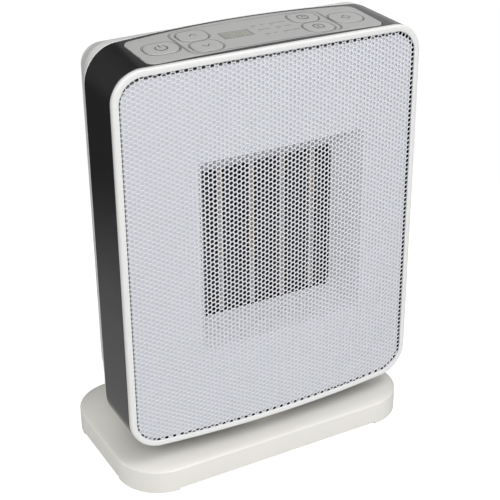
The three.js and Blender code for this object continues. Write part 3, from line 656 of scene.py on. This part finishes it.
def prism(name, polygon, low, high):
    return capped_mesh(name, [level_loop(polygon, z) for z in (low, high)])


def rear_form(name, inset, front_extra, back, outside):
    """Rear shell's solid form: out to a squarer shoulder, then a tub that tapers to the flat back."""
    depth_y = lambda depth: SHOULDER_Y + (back - SHOULDER_Y) * depth

    def level(half_u, half_v, radius, pillow, y):
        plan = outline(half_u - inset, half_v - inset, max(radius - inset, 2.5), pillow)
        return upright_loop(plan + (0, HEAD_Z), y)

    shoulder = level(*SHOULDER_HALF, SHOULDER_RADIUS, 0.0, SHOULDER_Y)
    start = rear_loop(inset, GAP - front_extra)
    loops = [start]
    if outside:
        start = rear_loop(0.0, GAP + 0.35)
        loops = [rear_loop(0.35, GAP), start]
    loops += [start + (shoulder - start) * share for share in (0.3, 0.6, 0.85)]
    loops.append(shoulder)
    flank = [0.0, TUB_RIM_SHARE]
    for depth in (0.08, 0.2, 0.35, 0.5, 0.65, 0.76):
        half_u, half_v = [np.interp(depth, flank, pair) for pair in zip(SHOULDER_HALF, TUB_HALF)]
        radius = np.interp(depth, flank, [SHOULDER_RADIUS, TUB_RADIUS])
        loops.append(level(half_u, half_v, radius, 1.4 * depth, depth_y(depth)))
    for angle in np.radians([0, 15, 30, 50, 70, 90]):
        shrink, rise = TUB_RIM_RADIUS * (1 - math.cos(angle)), math.sin(angle)
        half_u, half_v, radius = TUB_HALF[0] - shrink, TUB_HALF[1] - shrink, TUB_RADIUS - shrink
        y = depth_y(TUB_RIM_SHARE + (1 - TUB_RIM_SHARE) * rise)
        loops.append(level(half_u, half_v, radius, 1.2 - 0.6 * rise, y))
    return capped_mesh(name, loops, 30)


def rear_shell():
    """Light grey rear half with the hand grip, the intake opening and four screw wells."""
    made = rear_form("rear_tub", 0, 0, BACK_Y, True)
    combine(made, rear_form("hollow", WALL, 8, BACK_Y - WALL, False))
    grip = outline(*GRIP_HALF, 7, arc=8, edge=6, side=2)

    def across_back(name, plan, z, y_low, y_high):
        """A block through the back whose face is a plan of (x, z) points about a height."""
        return capped_mesh(name, [upright_loop(plan + (0, z), y) for y in (y_low, y_high)])

    floor_y = BACK_Y - GRIP_DEPTH
    wider = grip * (1 + 2.2 / np.array(GRIP_HALF))
    combine(made, across_back("grip_wall", wider, GRIP_Z, floor_y - 2.2, BACK_Y - 1), operation="UNION")
    combine(made, across_back("grip_room", grip, GRIP_Z, floor_y, BACK_Y + 6))
    low, high = span("filter_cover")
    middle_z = (low[2] + high[2]) / 2
    half = (high - low)[[0, 2]] / 2
    sill = outline(*(half + 2.3), 5, arc=6, edge=6, side=6)
    combine(made, across_back("sill", sill, middle_z, BACK_Y - 7.5, BACK_Y - 1.5), operation="UNION")
    opening = outline(*(half + GAP), 3, arc=6, edge=6, side=6)
    combine(made, across_back("intake", opening, middle_z, BACK_Y - 14, BACK_Y + 6))
    for sx in (-1, 1):
        for sz in (-1, 1):
            place = (sx * SCREW_X, 0, HEAD_Z + sz * SCREW_Z)
            boss = [(0, -9.6), (5.2, -9.6), (5.2, BACK_Y - 1), (0, BACK_Y - 1)]
            combine(made, turned("boss", boss, place, "Y", 40), operation="UNION")
            well = [(0, -12.0), (2.1, -12.0), (2.1, BACK_Y - 5), (4.0, BACK_Y - 5), (4.0, BACK_Y - 0.4),
                    (4.4, BACK_Y + 0.1), (4.4, BACK_Y + 2), (0, BACK_Y + 2)]
            combine(made, turned("well", well, place, "Y", 40))
    radius, height = SEAT_RADIUS + GAP, SEAT_TOP_Z + 4.3
    combine(made, turned("seat_room", [(0, 20.0), (radius, 20.0), (radius, height), (0, height)]), sharp=28)
    return dress(made, SHELL_GREY, "head", "shell_grey", "rear_shell")


def filter_cover():
    """Pull-off cover over the intake: a plate of round-ended slots with a frame behind it."""
    low, high = span("filter_cover")
    centre, half = (low + high)[[0, 2]] / 2, (high - low)[[0, 2]] / 2
    outer = outline(*half, 2.7, arc=6, edge=10, side=10)
    slots = []
    pitch = (2 * half[1] - 10) / FILTER_SLOT_ROWS
    width = half[0] - 8
    for row in range(FILTER_SLOT_ROWS):
        v = -half[1] + 5 + pitch * (row + 0.5)
        for side in (-1, 1):
            slot = outline(width / 2, pitch * 0.27, pitch * 0.265, arc=6, edge=4, side=1)
            slots.append(slot + [side * (half[0] - 2) / 2, v])
    bevel = [(grow(outer, -0.7), 0.0), (grow(outer, -0.25), 0.15)] + [(grow(s, 0.4), 0.0) for s in slots]
    levels = {"edge": 0.6, "hole": 0.35, "loops": bevel}
    place = lambda p: np.column_stack([p[:, 0] + centre[0], p[:, 2], p[:, 1] + centre[1]])
    made = sheet_mesh("intake_cover", outer, slots, levels, lambda u, v: np.full(len(u), BACK_Y),
                      lambda u, v: np.full(len(u), BACK_Y - 2.4), place, spacing=8.0)
    inner = grow(outer, -2.4)
    corners = ((outer, BACK_Y - 1.2), (outer, low[1]), (inner, low[1]), (inner, BACK_Y - 1.2))
    rim = [upright_loop(plan + centre, y) for plan, y in corners]
    combine(made, ring_mesh("rim", rim), operation="UNION", sharp=30)
    return dress(made, SHELL_GREY, "filter", "shell_grey", "filter_cover")


def filter_net():
    """Woven dust filter behind the cover."""
    low, high = span("filter_mesh")
    work = bmesh.new()
    bmesh.ops.create_grid(work, x_segments=NET_CELLS[0], y_segments=NET_CELLS[1], size=1)
    reach, centre = (high - low) / 2 - 0.5, (low + high) / 2
    for v in work.verts:
        v.co = Vector((v.co.x * reach[0] + centre[0], centre[1], v.co.y * reach[2] + centre[2])) * MM
    data = bpy.data.meshes.new("dust_net")
    work.to_mesh(data)
    work.free()
    made = linked("dust_net", data)
    apply_modifier(made, "WIREFRAME", thickness=0.8 * MM, use_even_offset=True)
    soften(made)
    return dress(made, DARK_PLASTIC, "filter", "dark_plastic", "filter_mesh")


# ---------------- control panel


def panel_outline(by):
    """Plan of the grey panel: straight sides, bowed front and rear edges, grown by a margin."""
    half = PANEL_HALF + by
    radius = PANEL_RADIUS + by
    arc, edge = 10, 24

    def edge_y(x, side):
        crown = 1 - (x / half) ** 2
        if side > 0:
            return PANEL_REAR_Y + by + PANEL_REAR_BOW * crown
        return PANEL_FRONT_Y - by - PANEL_FRONT_BOW * crown

    points = []
    for sx, sy, start in ((1, -1, 270), (1, 1, 0), (-1, 1, 90), (-1, -1, 180)):
        angles = np.radians(start + 90 * np.arange(arc + 1) / arc)
        x = sx * (half - radius) + radius * np.cos(angles)
        y = edge_y(x, sy) + radius * (np.sin(angles) - sy)
        points.extend(zip(x, y))
        end = points[-1]
        if sx == sy:
            inner = np.linspace(end[0], -end[0], edge + 1)[1:-1]
            points.extend(zip(inner, edge_y(inner, sy)))
        else:
            other = edge_y(half, -sy) + radius * sy
            inner = np.linspace(end[1], other, 6)[1:-1]
            points.extend((end[0], y) for y in inner)
    return np.array(points)


KEY_NODES = ("key_power", "key_up", "key_down", "key_timer", "key_mode", "key_swing")
KEY_CORNER = {"key_power": 7.5, "key_swing": 7.5}


def key_plan(node):
    """Plan centre, half sizes and corner radius of a key, from its CAD node."""
    low, high = span(node)
    return (low + high)[:2] / 2, (high - low)[:2] / 2, KEY_CORNER.get(node, 6.5)


def key_outline(node, by):
    centre, half, radius = key_plan(node)
    return outline(*(half + by), radius + by, arc=8, edge=5, side=4) + centre


def display_outline(by):
    low, high = span("display_lens")
    half, centre = (high - low)[:2] / 2 + by, (low + high)[:2] / 2
    return outline(*half, 1.0 + max(by, 0), arc=4, edge=6, side=4) + centre


def groove_lip(by):
    """Plan line of the groove round the middle controls, moved outwards by a margin."""
    centre, half = np.array(GROOVE_CENTRE), np.array(GROOVE_HALF)
    plan = outline(*(half + by), GROOVE_RADIUS + by, arc=10, edge=24, side=6) + centre
    bow = GROOVE_BOW * (1 - ((plan[:, 0] - centre[0]) / half[0]) ** 2)
    plan[:, 1] -= np.where(plan[:, 1] < centre[1], bow, 0)
    return plan


def groove_loops():
    """Shallow groove pressed round the middle controls, as the loops of its two lips and its floor."""
    return [(groove_lip(by), depth) for by, depth in ((0.65, 0.0), (0.42, 1.0), (-0.42, 1.0), (-0.65, 0.0))]


def control_panel():
    """Grey top plate, its edges rounded, with openings for the keys and the display."""
    outer = panel_outline(0)
    holes = [key_outline(node, KEY_GAP) for node in KEY_NODES] + [display_outline(GAP)]
    loops = [(panel_outline(-0.5), 0.0), (panel_outline(-0.15), 0.14)]
    loops += [(key_outline(node, KEY_GAP + 0.35), 0.0) for node in KEY_NODES] + [(display_outline(0.6), 0.0)]
    levels = {"edge": 0.45, "hole": 0.22, "loops": loops + groove_loops()}
    made = sheet_mesh("top_panel", outer, holes, levels, lambda u, v: top_z(u, v) + PANEL_PROUD,
                      lambda u, v: top_z(u, v) - PANEL_THICKNESS, lambda p: p, spacing=4.0, sharp=30)
    return dress(made, PANEL_GREY, "head", "panel_grey", "control_panel")


def press_key(node):
    """One key: straight sides, a rounded rim and a gently domed top."""
    steps = [(0.0, -KEY_SKIRT), (0.0, KEY_PROUD - 0.55), (-0.08, KEY_PROUD - 0.38), (-0.3, KEY_PROUD - 0.25),
             (-0.7, KEY_PROUD - 0.19), (-2.5, KEY_PROUD - 0.1)]
    centre = key_plan(node)[0]
    loops = []
    for by, height in steps:
        plan = key_outline(node, by)
        loops.append(np.column_stack([plan, top_z(*plan.T) + height]))
    for share in (0.6, 0.3):
        plan = centre + (loops[len(steps) - 1][:, :2] - centre) * share
        loops.append(np.column_stack([plan, top_z(*plan.T) + KEY_PROUD - 0.1 * share ** 2]))
    made = capped_mesh(node.replace("key_", "keycap_"), loops, 40)
    return dress(made, KEY_GREY, node + "_cap", "key_grey", node)


def display_window():
    """Smoked window, its face a little below the panel."""
    plans = [display_outline(0), display_outline(0), display_outline(-0.2), display_outline(-1.0)]
    heights = [-1.3, PANEL_PROUD - 0.3, PANEL_PROUD - 0.16, PANEL_PROUD - 0.14]
    loops = [np.column_stack([p, top_z(*p.T) + h]) for p, h in zip(plans, heights)]
    made = capped_mesh("display_window", loops)
    return dress(made, LENS_GREY, "head", "lens", "display_lens")


# ---------------- printed marks, and painted shade lines round the keys and the groove


def stroke(points, width, closed=False):
    """A line of constant width through plan points, as quads (four corners each)."""
    points = np.array(points, float)
    before, after = (points[-1:], points[:1]) if closed else (points[:1], points[-1:])
    padded = np.concatenate([before, points, after])
    along = padded[2:] - padded[:-2]
    along /= np.linalg.norm(along, axis=1)[:, None] + 1e-9
    side = np.stack([-along[:, 1], along[:, 0]], 1) * width / 2
    left, right = points + side, points - side
    last = len(points) - (0 if closed else 1)
    turns = [(i, (i + 1) % len(points)) for i in range(last)]
    return [(right[i], right[j], left[j], left[i]) for i, j in turns]


def lay_ink_and_shade(name, patches, height, body, finish, slot, thickness=MARK_LAYER):
    """Ink, and painted shade lines: thin quads laid over the sloping top, their faces at a height above it."""
    points, faces = [], []
    for patch in patches:
        first = len(points)
        for level in (height - thickness, height):
            points.extend((x, y, top_z(x, y) + level) for x, y in patch)
        faces.append(tuple(first + i for i in (3, 2, 1, 0)))
        faces.append(tuple(first + 4 + i for i in range(4)))
        faces.extend((first + i, first + (i + 1) % 4, first + 4 + (i + 1) % 4, first + 4 + i) for i in range(4))
    made = mesh_object(name, points, faces)
    return dress(made, finish, body, slot)


def painted_shade_lines():
    """Painted shade: dark lines laid on the panel round each key and along the groove, where shade falls into
    the gaps.
    """
    patches = stroke(groove_lip(0.9), 0.4, closed=True)
    for node in KEY_NODES:
        patches += stroke(key_outline(node, KEY_GAP + 0.65), 0.55, closed=True)
    # dark grey painted shade, standing in for the shade in the key gaps and the groove
    dark = material("painted_shade_grey", (0.12, 0.12, 0.118), 0.5, grain=2000, depth=0.01)
    return lay_ink_and_shade("painted_shade_lines", patches, PANEL_PROUD + MARK_LAYER_PROUD, "head", dark, "panel_grey")


def key_symbol(node):
    """The line symbol on a key, about its middle."""
    centre = key_plan(node)[0]
    at = lambda u, v: (centre[0] + SYMBOL_SCALE * u, centre[1] + SYMBOL_SCALE * v)
    round_at = lambda spot, radius, *angles: arc_points(spot, SYMBOL_SCALE * radius, *angles)
    line = SYMBOL_LINE
    if node == "key_power":
        patches = stroke(round_at(at(0, -0.2), 3.0, 125, 415, 20), line)
        patches += stroke([at(0, 0.6), at(0, 4.0)], line)
    elif node == "key_up":
        patches = stroke([at(-1.9, -1.0), at(0, 1.4), at(1.9, -1.0)], line)
    elif node == "key_down":
        patches = stroke([at(-1.9, 1.0), at(0, -1.4), at(1.9, 1.0)], line)
    elif node == "key_timer":
        patches = stroke(round_at(at(0, 0), 2.9, 0, 345, 20), line)
        patches += stroke([at(0, 2.0), at(0, 0), at(1.5, -0.6)], line)
    elif node == "key_mode":
        patches = stroke(round_at(at(0, 0.3), 2.7, -40, 220, 16), line)
        patches += stroke([at(-2.6, -2.2), at(2.6, -2.2)], line)
        patches += stroke([at(0, 1.6), at(0, -0.6)], line)
    else:
        patches = []
        for turn in (0, 90, 180, 270):
            heart = at(1.4 * math.cos(math.radians(turn)), 1.4 * math.sin(math.radians(turn)))
            patches += stroke(round_at(heart, 1.0, turn - 60, turn + 130, 8), line * 0.8)
    name = node.replace("key_", "symbol_")
    return lay_ink_and_shade(name, patches, KEY_PROUD + MARK_LAYER_PROUD, node + "_cap", MARK_GREY, "key_grey")


def indicator_marks():
    """Generic bars beside the display, in two columns, where a real panel names its functions."""
    patches = []
    left = span("display_lens")[0][0] + 26.2
    for column, start in enumerate((0.0, 14.0)):
        for row, back in enumerate((22.5, 31.0, 40.0)):
            u, v = left + start + row * 0.6, -back
            patches += stroke([(u, v), (u + 4.4 + 1.4 * ((row + column) % 2), v)], 1.1)
            patches += stroke([(u + 6.8, v), (u + 9.4 + (3.4 - 0.9 * (row % 2)) * column, v)], 1.1)
            patches += stroke([(u, v - 2.3), (u + 1.6, v - 2.3)], 0.8)
    faint = material("label_grey", (0.235, 0.235, 0.23), 0.5, grain=2000, depth=0.01)
    return lay_ink_and_shade("function_bars", patches, PANEL_PROUD + MARK_LAYER_PROUD, "head", faint, "panel_grey")


SEGMENTS = {"2": "abged", "4": "fgbc"}


def display_digits():
    """Two seven-segment digits, dimly lit."""
    low, _ = span("display_lens")
    patches = []
    for index, digit in enumerate("24"):
        left, right = low[0] + 6.2 + index * 6.2, low[0] + 9.6 + index * 6.2
        floor, top = low[1] + 2.2, low[1] + 8.8
        mid = (floor + top) / 2
        lines = {"a": [(left, top), (right, top)], "b": [(right, top), (right, mid)],
                 "c": [(right, mid), (right, floor)], "d": [(left, floor), (right, floor)],
                 "e": [(left, mid), (left, floor)], "f": [(left, top), (left, mid)],
                 "g": [(left, mid), (right, mid)]}
        for segment in SEGMENTS[digit]:
            patches += stroke(lines[segment], 0.75)
    glow = material("digit_glow", (0.33, 0.325, 0.22), 0.4, grain=2000, depth=0.005)
    shader_of(glow).inputs["Emission Color"].default_value = (0.85, 0.83, 0.35, 1)
    shader_of(glow).inputs["Emission Strength"].default_value = 0.05
    return lay_ink_and_shade("digits", patches, PANEL_PROUD - 0.14 + MARK_LAYER_PROUD, "head", glow, "lens", DIGIT_INK)


# ---------------- base


def base_cover():
    """Low white foot: upright skirt, crisp crease, crown that flows up to the round pedestal."""
    frame_outline = lambda inset: outline(BASE_HALF[0] - inset, BASE_HALF[1] - inset,
                                          max(BASE_RADIUS - inset, 6), arc=16, edge=30, side=10)

    def loop(inset, z, share=0.0, radius=PEDESTAL_RADIUS):
        plan = frame_outline(inset)
        circle = radius * directions(np.arctan2(plan[:, 1], plan[:, 0]))
        return level_loop(plan + (circle - plan) * share, z)

    crown = [(0.0, 17.3), (0.08, 17.75), (0.35, 18.15), (0.8, 18.5), (1.6, 18.95), (3.5, 19.7), (7, 20.8),
             (12, 21.9), (18, 22.9), (26, 23.8)]
    flow = [(30, 24.25, 0.3, 52.0), (30, 24.6, 0.62, 51.0), (30, 24.9, 0.86, 50.0), (30, 25.2, 1.0, 48.5)]
    cove = [(46.2, 25.7), (44.8, 26.9), (44.2, 28.4), (43.9, 30.0), (43.6, 30.7), (43.0, PEDESTAL_TOP_Z - 0.1),
            (42.2, PEDESTAL_TOP_Z), (HUB_RADIUS + 0.9, PEDESTAL_TOP_Z), (HUB_RADIUS + 0.6, 30.9)]
    loops = [loop(1.2, BASE_FOOT_Z), loop(0.3, BASE_FOOT_Z), loop(0.0, BASE_FOOT_Z + 0.3)]
    loops += [loop(inset, z) for inset, z in crown]
    loops += [loop(inset, z, share, radius) for inset, z, share, radius in flow]
    loops += [loop(30, z, 1.0, radius) for radius, z in cove]
    loops += [loop(30, 28.7, 1.0, HUB_RADIUS + 0.6), loop(30, 28.7, 1.0, 41.0), loop(30, 24.0, 1.0, 42.3),
              loop(30, 21.5, 1.0, 47.0), loop(20, 20.4), loop(8, 18.6), loop(4.2, 16.8), loop(WALL, 15.0),
              loop(WALL, 5.3), loop(WALL, BASE_FOOT_Z)]
    made = ring_mesh("base_moulding", loops, sharp=32)
    pad_x, pad_y = np.abs(middle("foot_pad_front_left"))[:2]
    spots = [(pad_x * sx, pad_y * sy, 0) for sx, sy in ((-1, -1), (1, -1), (-1, 1), (1, 1))]
    for spot in spots:
        sole = [(0, BASE_FOOT_Z), (SOLE_RADIUS, BASE_FOOT_Z), (SOLE_RADIUS, 5.0), (0, 5.0)]
        foot = turned("foot", sole, spot, sides=48)
        trim = capped_mesh("trim", [loop(0.6, z) for z in (BASE_FOOT_Z, 5.2)])
        combine(foot, trim, operation="INTERSECT")
        combine(made, foot, operation="UNION")
    straight = (BASE_HALF[0] - BASE_RADIUS, BASE_HALF[1] - BASE_RADIUS)
    combine(made, block("long", (-straight[0], -80, -3), (straight[0], 80, BASE_SKIRT_Z)))
    combine(made, block("short", (-130, -straight[1], -3), (130, straight[1], BASE_SKIRT_Z)))
    for spot in spots:
        seat = turned("seat", [(0, -1.0), (9.3, -1.0), (9.3, 2.4), (0, 2.4)], spot, sides=48)
        combine(made, seat)
    x, _, z = middle("cord_inlet")
    back = BASE_HALF[1]
    inlet = turned("inlet", [(0, back - 9.0), (5.0, back - 9.0), (5.0, back - 1.9), (7.5, back - 1.9),
                             (7.5, back + 2), (0, back + 2)], (x, 0, z), "Y", 48)
    combine(made, inlet, sharp=32)
    return dress(made, BASE_WHITE, "base", "base_white", "base_cover")


def foot_pads():
    """Four round rubber feet with a grooved sole."""
    for corner in ("front_left", "front_right", "rear_left", "rear_right"):
        node = "foot_pad_" + corner
        low, high = span(node)
        radius = (high - low)[0] / 2
        x, y, _ = (low + high) / 2
        profile = [(0, 0.0), (radius - 3.2, 0.0), (radius - 3.0, 0.25), (radius - 2.4, 0.25),
                   (radius - 2.2, 0.0), (radius - 0.7, 0.0), (radius - 0.2, 0.2), (radius, 0.7),
                   (radius, high[2]), (0, high[2])]
        made = turned("rubber_foot_" + corner, profile, (x, y, 0), sides=64)
        dress(made, RUBBER, "base", "rubber", node)


def screw(name, node, body, axis, outward):
    """Pan-head screw with a cross recess, its head at the outward end of the CAD screw."""
    low, high = span(node)
    centre = (low + high) / 2
    along = {"Y": 1, "Z": 2}[axis]
    length = high[along] - low[along]
    start = high[along] if outward > 0 else low[along]
    down = lambda d: start - outward * d
    profile = [(0, down(0.05)), (1.6, down(0.0)), (2.7, down(0.25)), (3.4, down(0.8)), (3.6, down(1.5)),
               (3.6, down(2.0)), (1.7, down(2.0)), (1.7, down(length - 2)), (0.6, down(length)),
               (0, down(length))]
    place = centre.copy()
    place[along] = 0
    made = turned(name, profile, place, axis, 36)
    for turn in (0, 1):
        half = [0.45, 0.45, 0.45]
        half[(along + 1 + turn) % 3] = 2.1
        reach = np.array(half)
        reach[along] = 1.4
        middle_point = place.copy()
        middle_point[along] = start
        combine(made, block("slot", middle_point - reach, middle_point + reach))
    return dress(made, STEEL, body, "steel", node)


def turned_parts():
    """Pieces turned about the swivel axis, and the closed gland for the mains lead."""
    low, high = span("glide_ring")
    radius = (high - low)[0] / 2
    made = turned("glide_washer", [(28, low[2]), (radius - 0.3, low[2]), (radius, low[2] + 0.3),
                                   (radius, high[2] - 0.3), (radius - 0.3, high[2]), (28, high[2])])
    dress(made, ACETAL, "base", "acetal", "glide_ring")
    low, high = span("swivel_hub")
    made = turned("hub_tube", [(18, low[2]), (HUB_RADIUS - 0.4, low[2]), (HUB_RADIUS, low[2] + 0.4),
                               (HUB_RADIUS, SEAT_TOP_Z + GAP), (33.5, SEAT_TOP_Z + GAP), (34, SEAT_TOP_Z + 0.8),
                               (34, high[2] - 0.5), (33.5, high[2]), (18, high[2])])
    dress(made, SHELL_GREY, "head", "shell_grey", "swivel_hub")
    x, _, z = middle("cord_inlet")
    back = BASE_HALF[1]
    profile = [(0, back - 8), (4.7, back - 8), (4.7, back - 1.6), (7.2, back - 1.6), (7.2, back - 0.4),
               (6.8, back), (4.2, back), (3.4, back - 0.5), (3.4, back - 3), (0, back - 3)]
    made = turned("gland", profile, (x, 0, z), "Y", 64)
    dress(made, SHELL_GREY, "base", "shell_grey", "cord_inlet")


# ---------------- CAD nodes that stay


CARRIED = {
    "base_plate": SHELL_GREY, "swivel_motor": STEEL, "swivel_pinion": ACETAL, "swivel_gear": ACETAL,
    "hub_retainer": STEEL, "ptc_frame": DARK_PLASTIC, "thermal_cutout": STEEL, "fan_shroud": DARK_PLASTIC,
    "fan_motor": STEEL, "fan_impeller": DARK_PLASTIC, "fan_shaft": STEEL, "power_board": BOARD_GREEN,
    "tilt_switch": DARK_PLASTIC, "tilt_pendulum": STEEL, "display_module": DARK_PLASTIC,
    "control_board": BOARD_GREEN,
}


def carry_over():
    """Finishes for the CAD nodes that are shown as they are."""
    for node, finish in CARRIED.items():
        data = frame["nodes"][node].data
        data.materials.clear()
        data.materials.append(finish)


# ---------------- camera, light and floor


VIEW_ANGLES = (-28.789, 26.387, -0.542)   # azimuth, elevation and roll in degrees
VIEW_TARGET = (-0.02026, -0.0573, 0.1749)
VIEW_DISTANCE = 0.86505
VIEW_LENS = 89.70

ROOM_LIGHT = (-0.5, -0.75, 0.43)
ROOM_REACH = (-0.7, 0.3)
ROOM_LEVELS = (0.05, 0.62)
FLOOR_LIFT = 0.75
FLOOR_GREY = 0.62
FLOOR_REACH = 1100.0
FLOOR_FADE = (0.10, 0.62)


def camera():
    """A long lens from the front left and above."""
    azimuth, elevation, roll = (math.radians(a) for a in VIEW_ANGLES)
    back = Vector((math.sin(azimuth) * math.cos(elevation), -math.cos(azimuth) * math.cos(elevation),
                   math.sin(elevation)))
    right = (-back).cross(Vector((0, 0, 1))).normalized()
    up = right.cross(-back)
    across = right * math.cos(roll) + up * math.sin(roll)
    upward = up * math.cos(roll) - right * math.sin(roll)
    data = bpy.data.cameras.new("camera")
    data.lens = VIEW_LENS
    data.sensor_width = 36.0
    data.clip_start, data.clip_end = 0.05, 20.0
    made = linked("camera", data)
    turn = Matrix((across, upward, back)).transposed()
    made.matrix_world = Matrix.Translation(Vector(VIEW_TARGET) + back * VIEW_DISTANCE) @ turn.to_4x4()
    bpy.context.scene.camera = made


def area_light(name, place, target, size, power):
    data = bpy.data.lights.new(name, "AREA")
    data.shape = "RECTANGLE"
    data.size, data.size_y = size
    data.energy = power
    made = linked(name, data)
    made.visible_camera = False
    made.location = place
    made.rotation_euler = (Vector(target) - Vector(place)).to_track_quat("-Z", "Y").to_euler()


def world():
    """White to the camera; to everything else a soft room, bright in front on the left, dim behind."""
    made = bpy.data.worlds.new("studio")
    bpy.context.scene.world = made
    made.use_nodes = True
    tree = made.node_tree
    tree.nodes.clear()
    output = shader_node(tree, "OutputWorld")
    blend = shader_node(tree, "MixShader")
    path = shader_node(tree, "LightPath")
    white = shader_node(tree, "Background", Color=(1, 1, 1, 1))
    room = shader_node(tree, "Background")
    place = shader_node(tree, "TexCoord")
    facing = shader_node(tree, "VectorMath")
    facing.operation = "DOT_PRODUCT"
    facing.inputs[1].default_value = ROOM_LIGHT
    reach = shader_node(tree, "MapRange", From_Min=ROOM_REACH[0], From_Max=ROOM_REACH[1], To_Min=ROOM_LEVELS[0],
                        To_Max=ROOM_LEVELS[1])
    reach.interpolation_type = "SMOOTHSTEP"
    wire(tree, (place, "Generated", facing, 0), (facing, "Value", reach, "Value"),
         (reach, "Result", room, "Strength"), (path, "Is Camera Ray", blend, "Fac"),
         (room, "Background", blend, 1), (white, "Background", blend, 2),
         (blend, "Shader", output, "Surface"))


def floor():
    """Round pale floor that fades out at its edge into the white backdrop."""
    rings, sides = 24, 96
    radii = np.linspace(0.0, FLOOR_REACH, rings + 1)[1:]
    angles = 2 * np.pi * np.arange(sides) / sides
    points = [(0.0, 0.0, 0.0)] + [(r * math.cos(a), r * math.sin(a), 0.0) for r in radii for a in angles]
    faces = [(0, 1 + i, 1 + (i + 1) % sides) for i in range(sides)]
    faces += [tuple(i + 1 for i in f) for f in quads(rings, sides)]
    made = raw_mesh("floor", points, faces)
    finish = bpy.data.materials.new("floor_white")
    finish.use_nodes = True
    tree = finish.node_tree
    shader = shader_of(finish)
    shader.inputs["Base Color"].default_value = (FLOOR_GREY,) * 3 + (1,)
    shader.inputs["Roughness"].default_value = 0.7
    clear = shader_node(tree, "BsdfTransparent")
    blend = shader_node(tree, "MixShader")
    place = shader_node(tree, "TexCoord")
    length = shader_node(tree, "VectorMath")
    length.operation = "LENGTH"
    fade = shader_node(tree, "MapRange", From_Min=FLOOR_FADE[0], From_Max=FLOOR_FADE[1])
    fade.interpolation_type = "SMOOTHSTEP"
    wire(tree, (place, "Object", length, 0), (length, "Value", fade, "Value"), (fade, "Result", blend, "Fac"))
    path = shader_node(tree, "LightPath")
    lift = shader_node(tree, "Math")
    lift.operation = "MULTIPLY"
    lift.inputs[1].default_value = FLOOR_LIFT
    wire(tree, (path, "Is Camera Ray", lift, 0), (lift, "Value", shader, "Emission Strength"))
    shader.inputs["Emission Color"].default_value = (1, 1, 1, 1)
    wire(tree, (shader, "BSDF", blend, 1), (clear, "BSDF", blend, 2))
    output = tree.nodes["Material Output"]
    wire(tree, (blend, "Shader", output, "Surface"))
    made.data.materials.append(finish)


# ---------------- the whole

camera()
world()
floor()
area_light("key", (-0.8, -1.0, 1.0), (0, 0, 0.15), (0.9, 0.7), 7.5)
area_light("top", (0.25, -0.85, 1.6), (0, -0.05, 0.1), (0.8, 0.6), 9)
area_light("low", (0.1, -1.4, 0.14), (0, 0, 0.1), (1.3, 0.25), 1)
area_light("fill", (0.9, -1.1, 0.85), (0, 0, 0.15), (0.8, 0.8), 4)
area_light("side", (-1.3, 0.8, 0.6), (0, 0, 0.15), (0.8, 0.8), 4)
area_light("sheen", (0.95, 1.15, 0.62), (0, 0, 0.25), (1.1, 0.8), 2)

front_frame()
front_grille()
air_duct()
for number in range(1, 6):
    fin_pack(number)
for number in range(1, 5):
    heater_bar(number)
casing()
rear_shell()
filter_cover()
filter_net()
control_panel()
for key in KEY_NODES:
    press_key(key)
    key_symbol(key)
# painted shade lines round the keys and along the groove
painted_shade_lines()
display_window()
indicator_marks()
display_digits()
base_cover()
foot_pads()
turned_parts()
for side in ("top_left", "top_right", "low_left", "low_right"):
    screw("shell_screw_" + side, "rear_screw_" + side, "head", "Y", 1)
for side in ("front_left", "front_right", "rear_left", "rear_right"):
    screw("plate_screw_" + side, "base_screw_" + side, "base", "Z", -1)
carry_over()

bpy.context.scene.view_settings.view_transform = "Standard"
